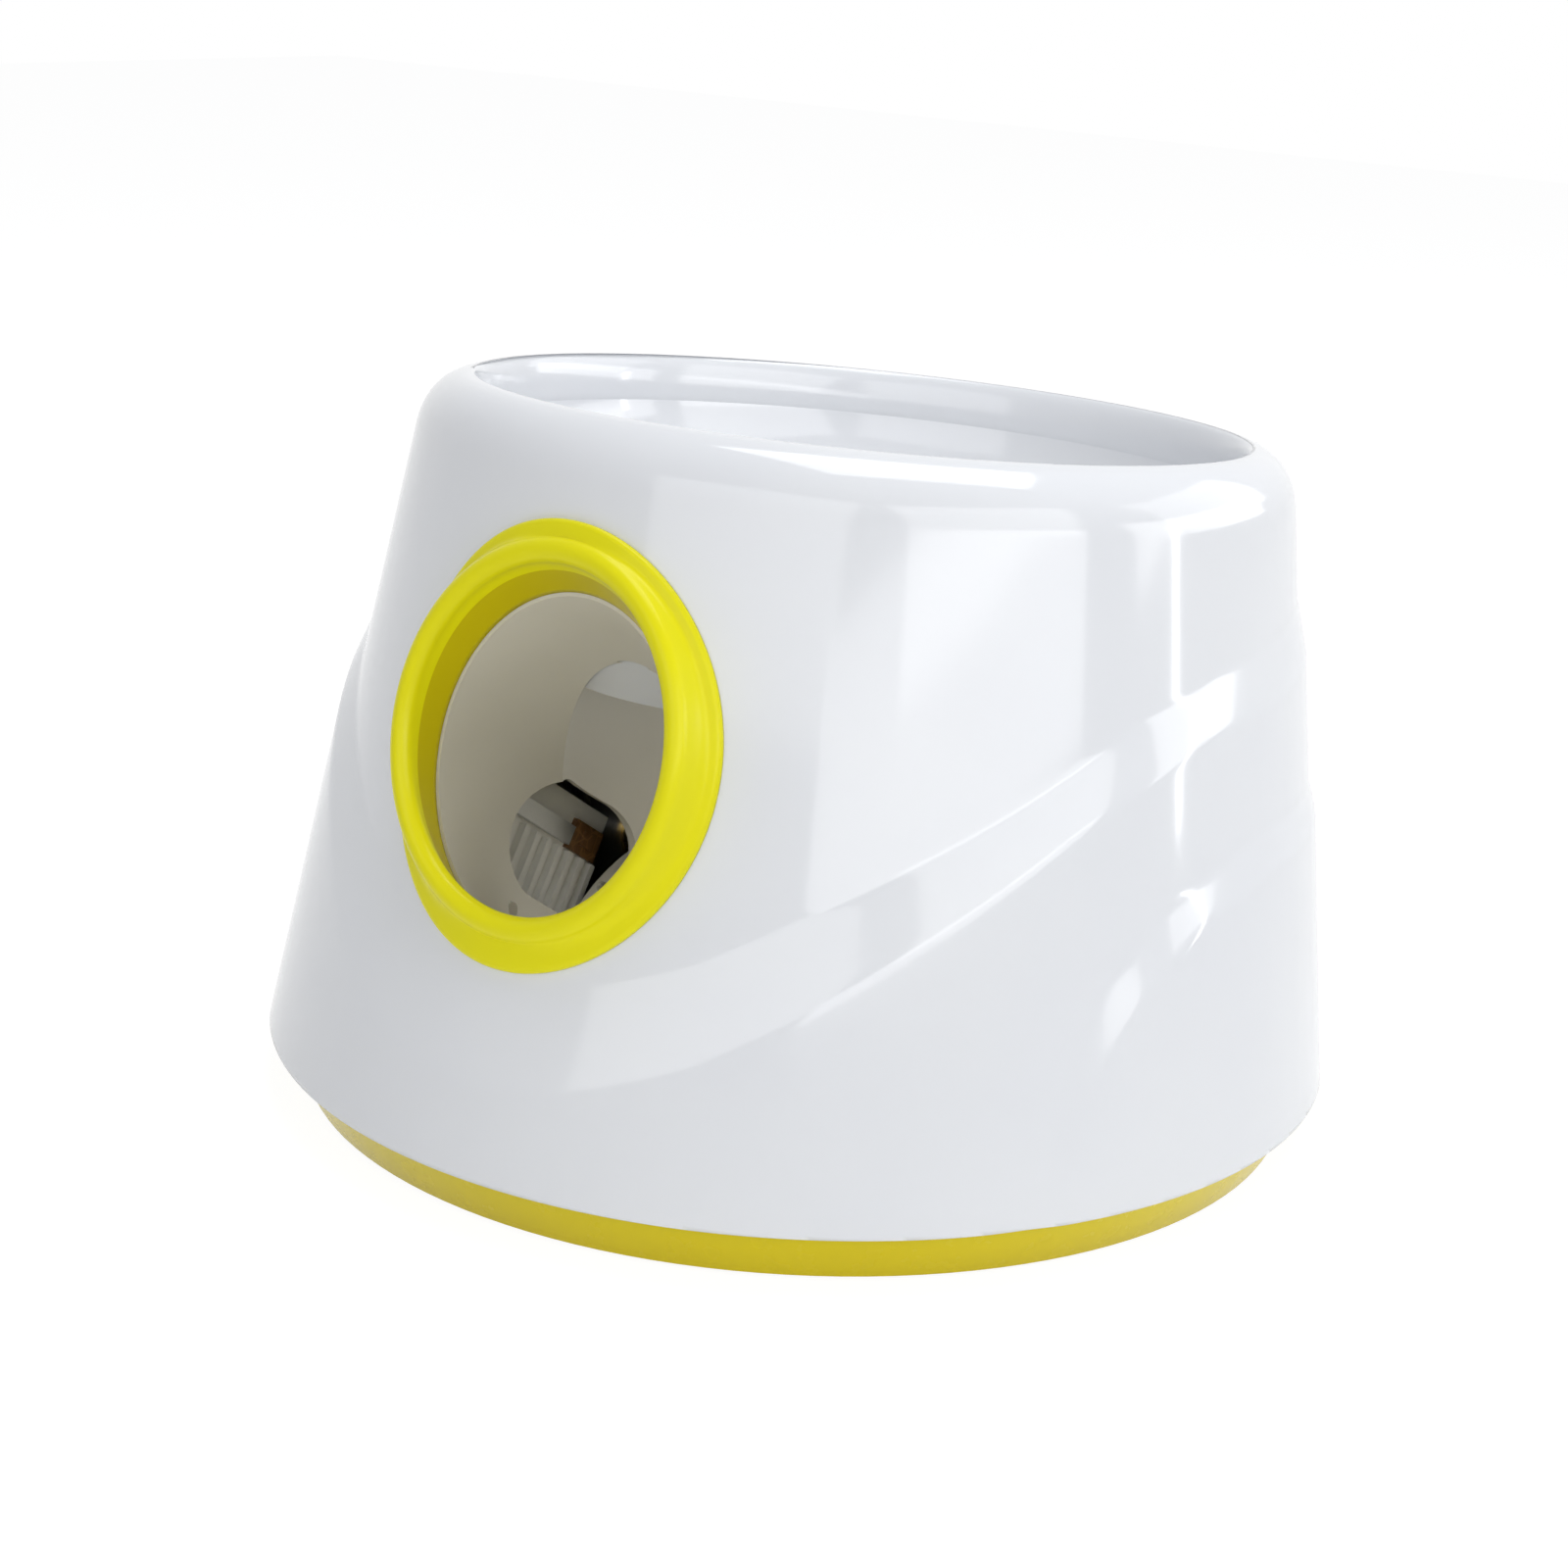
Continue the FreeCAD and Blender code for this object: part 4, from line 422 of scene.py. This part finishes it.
def shellPoints():
    # rows climb the outside, go over the rounded rim, down the lip and back down inside to the bottom edge
    s = shellShape
    angle = np.linspace(-180, 180, s["turns"], endpoint=False)
    # the rim's outer round is a quarter of an ellipse, joined to the wall where it has the wall's slope
    reach, fall = body["outerRound"]
    start = math.atan(fall / reach * taperTan)
    outerTop = body["rimHeight"] - fall + fall * math.sin(start)
    outerAlong = np.linspace(s["bottom"], outerTop, s["rows"])
    grid, alongGrid = np.meshgrid(angle, outerAlong)
    outer = shellRadius(grid, alongGrid)
    radii = [outer]
    heights = [alongGrid]

    def ring(radius, height):
        radii.append(np.broadcast_to(np.asarray(radius, float), (1, len(angle))))
        heights.append(np.full((1, len(angle)), height))

    crest = outer[-1:] - reach * math.cos(start)
    for turn in np.linspace(start, math.pi / 2, s["rimRows"])[1:]:
        ring(crest + reach * math.cos(turn), body["rimHeight"] - fall + fall * math.sin(turn))
    innerReach, innerFall = body["innerRound"]
    crestIn = lipRadius + innerReach
    for turn in np.radians(np.linspace(90, 180, s["innerRows"])):
        ring(crestIn + innerReach * math.cos(turn),
             body["rimHeight"] - innerFall + innerFall * math.sin(turn))
    lipBottom = body["rimHeight"] - body["lipDepth"]
    ring(lipRadius, lipBottom)
    ring(lipRadius + body["wall"], lipBottom)
    ring(lipRadius + body["wall"], body["rimHeight"] - innerFall)
    for share in np.linspace(0, 1, s["wallRows"])[1:]:
        turn = math.radians(90 - share * (90 - body["taper"]))
        reach = body["rimOuter"] - body["wall"]
        ring(rimRadius + reach * math.cos(turn), rimCentre + reach * math.sin(turn))
    wallIn = body["wall"] / taperCos
    for along in np.linspace(outerTop - s["wallTopDrop"], s["bottom"], s["wallRows"]):
        ring(upperRadius - taperTan * along - wallIn, along)
    radius = np.concatenate(radii)
    along = np.concatenate(heights)
    turn = np.radians(np.broadcast_to(angle, radius.shape))
    return fromBody(radius * np.sin(turn), -radius * np.cos(turn), along)


port = {
    "height": 116.5, "oval": 0.90, "inner": 41.6, "lipRound": 3.3, "lipStep": 0.2, "proud": 3.6,
    "flange": 53.9, "flangeOval": 0.88, "flangeThick": 1.8, "sleeve": 9.0, "lipRise": 1.4, "turns": 256,
    "tube": 35.5, "elevation": 45.0, "tubeGap": 0.8, "sleeveGap": 0.2, "cutGap": 0.3, "cutReach": 20.0,
    # the rows of the bore that take the darker yellow, as painted shade
    "boreRows": 10, "paintedShadeRows": 7, "lipRows": 19, "valleyRows": 9, "valleyStart": 24.0, "valley": 2.6,
    "valleyPull": 0.3, "riseFade": 1.5, "underGap": 0.06, "backReach": 0.25, "backDrop": -1.0,
    # steps in from the flange's rim, and how far each point is off its face
    "flangeEdge": ((1.4, 0.0), (0.8, -0.08), (0.3, -0.35), (0.06, -0.8), (0.0, -1.2)),
}
portSlope = body["taper"] + body["lean"]
portY = float(coneY(np.array(0.0), np.array(port["height"]), upperRadius))
portSin = math.sin(math.radians(portSlope))
portCos = math.cos(math.radians(portSlope))

panelWindow = {"half": (42.0, 18.0), "corner": 9.0, "level": 66.0, "depths": (100.0, 170.0), "steps": 64}
levelCut = {"reach": 400.0, "low": -200.0}


def ringOutline(scale, count=96):
    # the port's oval, narrower than it is high
    turn = np.linspace(0, 2 * np.pi, count, endpoint=False)
    return scale * port["oval"] * np.cos(turn), scale * np.sin(turn)


def fromPort(x, up, out):
    # the port's own axes: out is the wall's outward way, up climbs the wall
    return np.stack([x, portY + up * portSin - out * portCos,
                     port["height"] + up * portCos + out * portSin], -1)


def prism(name, nearRing, farRing):
    # a closed bar between two matching outlines
    piece = gridMesh(name, np.stack([nearRing, farRing]), closeV=False)
    work = bmesh.new()
    work.from_mesh(piece.data)
    bmesh.ops.holes_fill(work, edges=[edge for edge in work.edges if edge.is_boundary])
    bmesh.ops.recalc_face_normals(work, faces=work.faces)
    work.to_mesh(piece.data)
    work.free()
    return piece


def makeShell():
    piece = gridMesh("shellSkin", shellPoints())
    x, up = ringOutline(port["inner"] + port["lipStep"] + 2 * port["lipRound"] + port["cutGap"])
    reach = port["cutReach"]
    cutWith(piece, prism("portCut", fromPort(x, up, 0 * x - reach), fromPort(x, up, 0 * x + reach)))
    # the bottom edge is cut level, where the tray begins
    reach = levelCut["reach"]
    corners = np.array([[-reach, -reach], [reach, -reach], [reach, reach], [-reach, reach]], float)
    low = np.column_stack([corners, np.full(4, levelCut["low"])])
    high = np.column_stack([corners, np.full(4, body["cutLevel"])])
    cutWith(piece, prism("levelCut", low, high))
    # the panel's window at the back, a rectangle with round corners
    halfX, halfZ = panelWindow["half"]
    corner = panelWindow["corner"]
    turn = np.linspace(0, 2 * np.pi, panelWindow["steps"], endpoint=False)
    x = np.sign(np.cos(turn)) * (halfX - corner) + corner * np.cos(turn)
    z = panelWindow["level"] + np.sign(np.sin(turn)) * (halfZ - corner) + corner * np.sin(turn)
    near, far = (np.column_stack([x, 0 * x + y, z]) for y in panelWindow["depths"])
    cutWith(piece, prism("panelCut", near, far))
    return piece


shell = makeShell()
shell.data.materials.clear()
shell.data.materials.append(finishes["white_shell"])
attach(shell, "housing")
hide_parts("outer_shell")
print("housing shell:", len(shell.data.polygons), "faces")


# port ring

ringRounds = 12    # enough for onCone to settle


def onCone(x, up, offset):
    # how far out, along the port's axis, the cone's surface lies under a point of the ring, plus an offset
    out = np.zeros_like(x)
    for _ in range(ringRounds):
        z = port["height"] + up * portCos + out * portSin
        out = (portY + up * portSin - coneY(x, z, upperRadius + offset)) / portCos
    return out


def ringPoints():
    # rows run from the bore's back edge out over the lip, down to the flange, round its edge and back under it
    slant = math.radians(port["elevation"] - portSlope)
    drop = (port["sleeve"] + port["sleeveGap"]) * math.tan(slant)
    backX = port["tube"] + port["tubeGap"]
    backY = backX / math.cos(slant)
    turn = np.linspace(0, 2 * np.pi, port["turns"], endpoint=False)
    cosT, sinT = np.cos(turn), np.sin(turn)
    oval = port["oval"]
    rows = []
    centre = port["inner"] + port["lipStep"] + port["lipRound"]
    base = port["proud"] - port["lipRound"]
    front = centre - port["lipRound"]
    for share in np.linspace(0, 1, port["boreRows"])[:-1]:
        halfX = backX + (front * oval - backX) * share
        halfY = backY + (front - backY) * share
        up = halfY * sinT - drop * (1 - share) + port["lipRise"] * share
        rows.append(fromPort(halfX * cosT, up, 0 * turn - port["sleeve"] + (port["sleeve"] + base) * share))
    valleyStart = math.radians(port["valleyStart"])
    for angle in np.linspace(math.pi, valleyStart, port["lipRows"]):
        reach = centre + port["lipRound"] * math.cos(angle)
        up = reach * sinT + port["lipRise"]
        rows.append(fromPort(reach * oval * cosT, up, 0 * turn + base + port["lipRound"] * math.sin(angle)))
    outerReach = centre + port["lipRound"]

    def ringPlace(reach):
        # the outline narrows a little more at the sides as it nears the flange's edge
        share = np.clip((reach - outerReach) / (port["flange"] - outerReach), 0, 1)
        narrow = oval + (port["flangeOval"] - oval) * share
        return reach * narrow * cosT, reach * sinT + port["lipRise"] * (1 - share) ** port["riseFade"]

    # a quadratic curve from the lip, hollow side out, that lands flat on the flange
    lipReach = centre + port["lipRound"] * math.cos(valleyStart)
    lipOut = base + port["lipRound"] * math.sin(valleyStart)
    pull, landing = outerReach + port["valleyPull"], outerReach + port["valley"]
    for share in np.linspace(0, 1, port["valleyRows"])[1:]:
        reach = lipReach * (1 - share) ** 2 + pull * 2 * share * (1 - share) + landing * share ** 2
        x, up = ringPlace(reach)
        land = onCone(x, up, port["flangeThick"])
        rows.append(fromPort(x, up, lipOut * (1 - share) ** 2 + land * (1 - (1 - share) ** 2)))
    under = -port["flangeThick"] + port["underGap"]
    edge = [(port["flange"] - inset, offset) for inset, offset in port["flangeEdge"]]
    for reach, offset in edge + [(port["flange"], under), (outerReach + port["backReach"], under)]:
        x, up = ringPlace(reach)
        rows.append(fromPort(x, up, onCone(x, up, port["flangeThick"] + offset)))
    x, up = outerReach * oval * cosT, outerReach * sinT
    rows.append(fromPort(x, up, onCone(x, up, port["backDrop"])))
    rows.append(fromPort(x, up, 0 * turn - port["sleeve"]))
    return np.stack(rows)


ring = gridMesh("portLip", ringPoints())
ring.data.materials.append(finishes["yellow_trim"])
ring.data.materials.append(finishes["bore_painted_shade"])
slots = np.zeros(len(ring.data.polygons), np.int32)
slots[:port["paintedShadeRows"] * port["turns"]] = 1    # the bore takes a darker copy of the same yellow: painted shade for the light that hardly reaches into it
ring.data.polygons.foreach_set("material_index", slots)
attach(ring, "housing")
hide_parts("port_ring")
print("port ring:", len(ring.data.polygons), "faces")


# hopper

bowl = {
    "turns": 256, "topDrop": 9.4, "wallDepth": 33.3, "midRadius": 90.0, "wall": 2.5, "gap": 0.3,
    "throatY": -44.43, "throatZ": 126.5, "throatLean": 9.5, "neckWall": 2.1, "neckLength": 8.0,
    "flangeThick": 2.5, "flangeReach": 11.0, "seat": 0.2, "neckGap": 0.1, "chuteDrop": 1.5,
    # the wall's curve, as steps in or out of the lip and down from the top
    "tuck": 0.3, "tuckBack": 1.2, "upright": (0.35, 15.0), "footPull": (0.5, 2.0), "wallRows": 30,
    # the floor and the turn into the neck, as shares of the way
    "floorFrom": 0.18, "floorTo": 0.9, "neckFrom": 0.3, "floorRows": 14, "neckRows": 8, "underRows": 10,
    "outerIn": 1.5, "outerRise": 12.0, "shoulder": 0.1, "flangeIn": 0.6, "topIn": 1.25, "topUnder": 1.5,
}


def fromThroat(x, y, up):
    # the throat's own axes, leaning back about X
    lean = math.radians(bowl["throatLean"])
    return np.stack([x, bowl["throatY"] + y * math.cos(lean) + up * math.sin(lean),
                     bowl["throatZ"] - y * math.sin(lean) + up * math.cos(lean)], -1)


def bowlPoints():
    # one closed section: down the wall, round a corner, down the floor into the neck, and back up outside
    b = bowl
    turn = np.linspace(-np.pi, np.pi, b["turns"], endpoint=False)
    sinT, cosT = np.sin(turn), -np.cos(turn)
    top = body["rimHeight"] - b["topDrop"]
    mid = top - b["wallDepth"]
    outerTop = lipRadius - b["gap"]
    neckIn = port["tube"] - b["gap"] - b["neckWall"] - b["neckGap"]
    neckOut = port["tube"] - b["gap"] - b["neckGap"]
    chuteTop = -b["wall"] - b["chuteDrop"]

    def bodyRing(radius, along):
        return fromBody(radius * sinT, radius * cosT, 0 * turn + along)

    def throatRing(radius, up):
        return fromThroat(radius * sinT, radius * cosT, 0 * turn + up)

    def curve(first, middle, last, count):
        # a quadratic curve from first to last, pulled towards middle
        rows = []
        for t in np.linspace(0, 1, count):
            rows.append(first * (1 - t) ** 2 + middle * 2 * t * (1 - t) + last * t * t)
        return rows

    inMid = bodyRing(b["midRadius"], mid)
    throat = throatRing(neckIn, 0)
    neckLow = throatRing(neckIn, chuteTop - b["neckLength"])
    floorStart = inMid + (throat - inMid) * b["floorFrom"]
    floorEnd = inMid + (throat - inMid) * b["floorTo"]
    neckStart = throat + (neckLow - throat) * b["neckFrom"]
    rows = [bodyRing(lipRadius + b["tuckBack"], top)]
    # a cubic curve, upright at the rim's lip and along the floor at its foot; its top is tucked into the lip
    first = bodyRing(lipRadius + b["tuck"], top)
    upright = bodyRing(lipRadius - b["upright"][0], top - b["upright"][1])
    corner = bodyRing(b["midRadius"] + b["footPull"][0], mid + b["footPull"][1])
    for t in np.linspace(0, 1, b["wallRows"]):
        rows.append(first * (1 - t) ** 3 + upright * 3 * t * (1 - t) ** 2
                    + corner * 3 * t * t * (1 - t) + floorStart * t ** 3)
    rows += [floorStart + (floorEnd - floorStart) * t for t in np.linspace(0, 1, b["floorRows"])[1:-1]]
    rows += curve(floorEnd, throat, neckStart, b["neckRows"])
    rows.append(neckLow)
    rows.append(throatRing(neckOut, chuteTop - b["neckLength"]))
    rows.append(throatRing(neckOut, -b["wall"]))
    rows.append(throatRing(neckIn + b["wall"], -b["wall"]))
    outMid = bodyRing(b["midRadius"] + b["wall"], mid - b["wall"])
    under = throatRing(neckIn + b["wall"], -b["wall"])
    rows += [under + (outMid - under) * t for t in np.linspace(0.1, 1, b["underRows"])]
    flangeTop = body["rimHeight"] - body["lipDepth"] - b["seat"]
    flangeLow = flangeTop - b["flangeThick"]
    rows.append(bodyRing(outerTop - b["outerIn"], mid + b["outerRise"]))
    rows.append(bodyRing(outerTop + b["shoulder"], flangeLow))
    rows.append(bodyRing(lipRadius + b["flangeReach"], flangeLow))
    rows.append(bodyRing(lipRadius + b["flangeReach"], flangeTop))
    rows.append(bodyRing(lipRadius + b["flangeIn"], flangeTop))
    rows.append(bodyRing(lipRadius + b["topIn"], top - b["topUnder"]))
    return np.stack(rows)


hopperBowl = gridMesh("hopperBowl", bowlPoints())
hopperBowl.data.materials.append(finishes["white_shell"])
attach(hopperBowl, "housing")
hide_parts("hopper")
print("hopper:", len(hopperBowl.data.polygons), "faces")


# the hammer's torsion springs, in their rest shape; in use they wind up along their coils as the hammer draws
# back

spring = {
    "pivot": (-10.997, 60.062), "lean": 45.0, "innerEnd": 9.5, "bend": 1.4, "seatEnd": 1.0,
    "coilRadius": 7.2, "wireRadius": 0.8, "turns": 4.0, "pitch": 2.2, "seatReach": 24.0,
    "barLeg": (23.45, -10.62), "tip": 0.1, "tipRound": 0.8,
    "facets": 12, "coilSteps": 128, "legSteps": 10, "cornerSteps": 6,
}


def springPath():
    # the hammer's leg along X, a round corner up to the coil, a helix about X, and the leg to the spring bar;
    # the second array is the side that the wire's section keeps to, which turns from depth to X going up
    s = spring
    inner, bend, low = s["innerEnd"], s["bend"], -s["seatReach"]
    back = -s["coilRadius"]
    x = np.linspace(s["seatEnd"], inner - bend, s["legSteps"], endpoint=False)
    leg = np.column_stack([x, 0 * x + low, 0 * x + back])
    turn = np.linspace(-math.pi / 2, 0, s["cornerSteps"], endpoint=False)
    corner = np.column_stack([inner - bend + bend * np.cos(turn), low + bend + bend * np.sin(turn),
                              0 * turn + back])
    up = np.linspace(low + bend, 0, 2 * s["legSteps"], endpoint=False)
    rise = np.column_stack([0 * up + inner, up, 0 * up + back])
    turn = np.linspace(0, 2 * math.pi * s["turns"], s["coilSteps"] + 1)
    along = inner + s["turns"] * s["pitch"] * turn / turn[-1]
    coil = np.column_stack([along, s["coilRadius"] * np.sin(turn), -s["coilRadius"] * np.cos(turn)])
    share = np.linspace(0, 1, s["legSteps"] + 1)[1:]
    barLeg = coil[-1] + share[:, None] * (np.array([along[-1], *s["barLeg"]]) - coil[-1])
    twist = np.concatenate([np.zeros(len(leg) + len(corner)), np.linspace(0, math.pi / 2, len(rise)),
                            np.full(len(coil) + len(barLeg), math.pi / 2)])
    side = np.column_stack([np.sin(twist), 0 * twist, np.cos(twist)])
    return np.concatenate([leg, corner, rise, coil, barLeg]), side


def springPoints(mirror):
    # circles square to the path that shrink to a point at both ends, then turned with the launch line about X
    s = spring
    path, side = springPath()
    way = np.gradient(path, axis=0)
    way /= np.linalg.norm(way, axis=1, keepdims=True)
    side = side - (side * way).sum(1, keepdims=True) * way
    side /= np.linalg.norm(side, axis=1, keepdims=True)
    across = np.cross(way, side)
    rows = np.concatenate([[0, 0, 0], np.arange(1, len(path) - 1), [len(path) - 1] * 3])
    radius = np.full(len(rows), s["wireRadius"])
    radius[[0, -1]] = 0
    radius[[1, -2]] *= s["tipRound"]
    out = np.zeros(len(rows))
    out[[0, 1]], out[[-2, -1]] = -s["tip"], s["tip"]
    angle = np.linspace(0, 2 * math.pi, s["facets"], endpoint=False)
    ring = (np.cos(angle)[None, :, None] * side[rows][:, None]
            + np.sin(angle)[None, :, None] * across[rows][:, None])
    points = path[rows][:, None] + (out[:, None] * way[rows])[:, None] + radius[:, None, None] * ring
    x, u, w = points[..., 0] * mirror, points[..., 1], points[..., 2]
    sine, cosine = math.sin(math.radians(s["lean"])), math.cos(math.radians(s["lean"]))
    y0, z0 = s["pivot"]
    return np.stack([x, y0 + u * sine - w * cosine, z0 + u * cosine + w * sine], -1)


for springName, springNode, mirror in (("springLeft", "spring_left", -1), ("springRight", "spring_right", 1)):
    wire = gridMesh(springName, springPoints(mirror), closeV=False)
    work = bmesh.new()
    work.from_mesh(wire.data)
    bmesh.ops.remove_doubles(work, verts=work.verts, dist=1e-7)    # closes both tips
    work.to_mesh(wire.data)
    work.free()
    wire.data.materials.append(finishes["spring_steel"])
    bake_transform(wire)
    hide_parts(springNode)
print("torsion springs")


# camera, light and floor

view = {
    "azimuth": 34.3, "elevation": 16.9, "distance": 801.0, "focalPixels": 3050.0, "roll": 3.1,
    "right": -7.0, "up": -18.0, "aimHeight": 100.0, "sensor": 36.0, "pixels": 1600.0, "clip": (0.01, 20),
}


def makeCamera():
    a = math.radians(view["azimuth"])
    e = math.radians(view["elevation"])
    back = Vector((math.sin(a) * math.cos(e), -math.cos(a) * math.cos(e), math.sin(e)))
    right = Vector((math.cos(a), math.sin(a), 0))
    up = back.cross(right)
    roll = math.radians(view["roll"])
    turnedRight = right * math.cos(roll) + up * math.sin(roll)
    turnedUp = up * math.cos(roll) - right * math.sin(roll)
    aim = Vector((0, 0, view["aimHeight"]))
    place = aim + right * view["right"] + up * view["up"] + back * view["distance"]
    data = bpy.data.cameras.new("viewCamera")
    data.sensor_width = view["sensor"]
    data.lens = view["focalPixels"] / view["pixels"] * view["sensor"]
    camera = bpy.data.objects.new("viewCamera", data)
    bpy.context.scene.collection.objects.link(camera)
    camera.matrix_world = Matrix((
        (turnedRight.x, turnedUp.x, back.x, place.x * mm),
        (turnedRight.y, turnedUp.y, back.y, place.y * mm),
        (turnedRight.z, turnedUp.z, back.z, place.z * mm),
        (0, 0, 0, 1)))
    data.clip_start, data.clip_end = view["clip"]
    bpy.context.scene.camera = camera


makeCamera()


lightSet = {
    # name: place, size, watts, colour; the glints only show as reflections
    "front": ((0.25, -1.75, 0.85), (1.7, 0.9), 7.0, (1.0, 1.0, 1.0)),
    "right": ((1.65, -0.55, 0.85), (1.7, 0.9), 9.5, (1.0, 1.0, 1.0)),
    "back": ((1.1, 1.45, 0.85), (1.7, 0.9), 6.5, (1.0, 1.0, 1.0)),
    "top": ((0.15, 0.20, 1.5), (1.0, 1.0), 12.0, (0.97, 0.98, 1.0)),
    "glintRight": ((1.55, -0.75, 0.36), (2.2, 0.34), 6.0, (1.0, 1.0, 1.0)),
    "glintBack": ((1.15, 1.10, 0.42), (1.6, 0.36), 5.0, (1.0, 1.0, 1.0)),
    "glintStreak": ((1.45, 0.78, 0.16), (0.07, 0.55), 0.9, (1.0, 1.0, 1.0)),
}
lampAim = Vector((0, 0, 0.09))


def makeLights():
    for name, (place, size, watts, colour) in lightSet.items():
        data = bpy.data.lights.new(name, "AREA")
        data.shape = "RECTANGLE"
        data.size, data.size_y = size
        data.energy = watts
        data.color = colour
        lamp = bpy.data.objects.new(name, data)
        bpy.context.scene.collection.objects.link(lamp)
        lamp.location = place
        lamp.visible_camera = False
        lamp.visible_diffuse = not name.startswith("glint")
        lamp.rotation_euler = (lampAim - Vector(place)).to_track_quat("-Z", "Y").to_euler()


makeLights()

backdrop = {
    "sky": (0.80, 0.81, 0.83, 1), "skyStrength": 0.38, "white": (1, 1, 1, 1), "whiteStrength": 1.0,
    "floorReach": 3.0, "floorColour": (0.85, 0.85, 0.85, 1), "floorRoughness": 0.6,
    "shadowColour": (0.16, 0.16, 0.16, 1), "floorGlow": 0.93,
}


def seenDirectly(nodes, links):
    # 1 for a ray from the camera, off a glossy surface or through glass, and 0 for light
    path = nodes.new("ShaderNodeLightPath")
    found = path.outputs["Is Camera Ray"]
    for kind in ("Is Glossy Ray", "Is Transmission Ray"):
        either = nodes.new("ShaderNodeMath")
        either.operation = "MAXIMUM"
        links.new(found, either.inputs[0])
        links.new(path.outputs[kind], either.inputs[1])
        found = either.outputs["Value"]
    return found


def makeWorld():
    world = bpy.data.worlds.new("studio")
    bpy.context.scene.world = world
    world.use_nodes = True
    nodes = world.node_tree.nodes
    links = world.node_tree.links
    background = nodes["Background"]
    background.inputs["Color"].default_value = backdrop["sky"]
    background.inputs["Strength"].default_value = backdrop["skyStrength"]
    seen = nodes.new("ShaderNodeBackground")
    seen.inputs["Color"].default_value = backdrop["white"]
    seen.inputs["Strength"].default_value = backdrop["whiteStrength"]
    mix = nodes.new("ShaderNodeMixShader")
    links.new(seenDirectly(nodes, links), mix.inputs["Fac"])
    links.new(background.outputs["Background"], mix.inputs[1])
    links.new(seen.outputs["Background"], mix.inputs[2])
    links.new(mix.outputs["Shader"], nodes["World Output"].inputs["Surface"])


makeWorld()


def makeFloor():
    # seen directly it is near white and keeps the shadow; for light it is a plain pale floor
    reach = backdrop["floorReach"]
    corners = [(-reach, -reach, 0), (reach, -reach, 0), (reach, reach, 0), (-reach, reach, 0)]
    mesh = bpy.data.meshes.new("floorSheet")
    mesh.from_pydata(corners, [], [(0, 1, 2, 3)])
    floor = bpy.data.objects.new("floorSheet", mesh)
    bpy.context.scene.collection.objects.link(floor)
    mat, nodes, links, shader = newMaterial("paleFloor")
    shader.inputs["Base Color"].default_value = backdrop["floorColour"]
    shader.inputs["Roughness"].default_value = backdrop["floorRoughness"]
    shown = nodes.new("ShaderNodeBsdfDiffuse")
    shown.inputs["Color"].default_value = backdrop["shadowColour"]
    glow = nodes.new("ShaderNodeEmission")
    glow.inputs["Color"].default_value = backdrop["white"]
    glow.inputs["Strength"].default_value = backdrop["floorGlow"]
    add = nodes.new("ShaderNodeAddShader")
    mix = nodes.new("ShaderNodeMixShader")
    links.new(shown.outputs["BSDF"], add.inputs[0])
    links.new(glow.outputs["Emission"], add.inputs[1])
    links.new(seenDirectly(nodes, links), mix.inputs["Fac"])
    links.new(shader.outputs["BSDF"], mix.inputs[1])
    links.new(add.outputs["Shader"], mix.inputs[2])
    links.new(mix.outputs["Shader"], nodes["Material Output"].inputs["Surface"])
    floor.data.materials.append(mat)


makeFloor()
bpy.context.scene.view_settings.view_transform = "Standard"
print("camera, lights and floor")
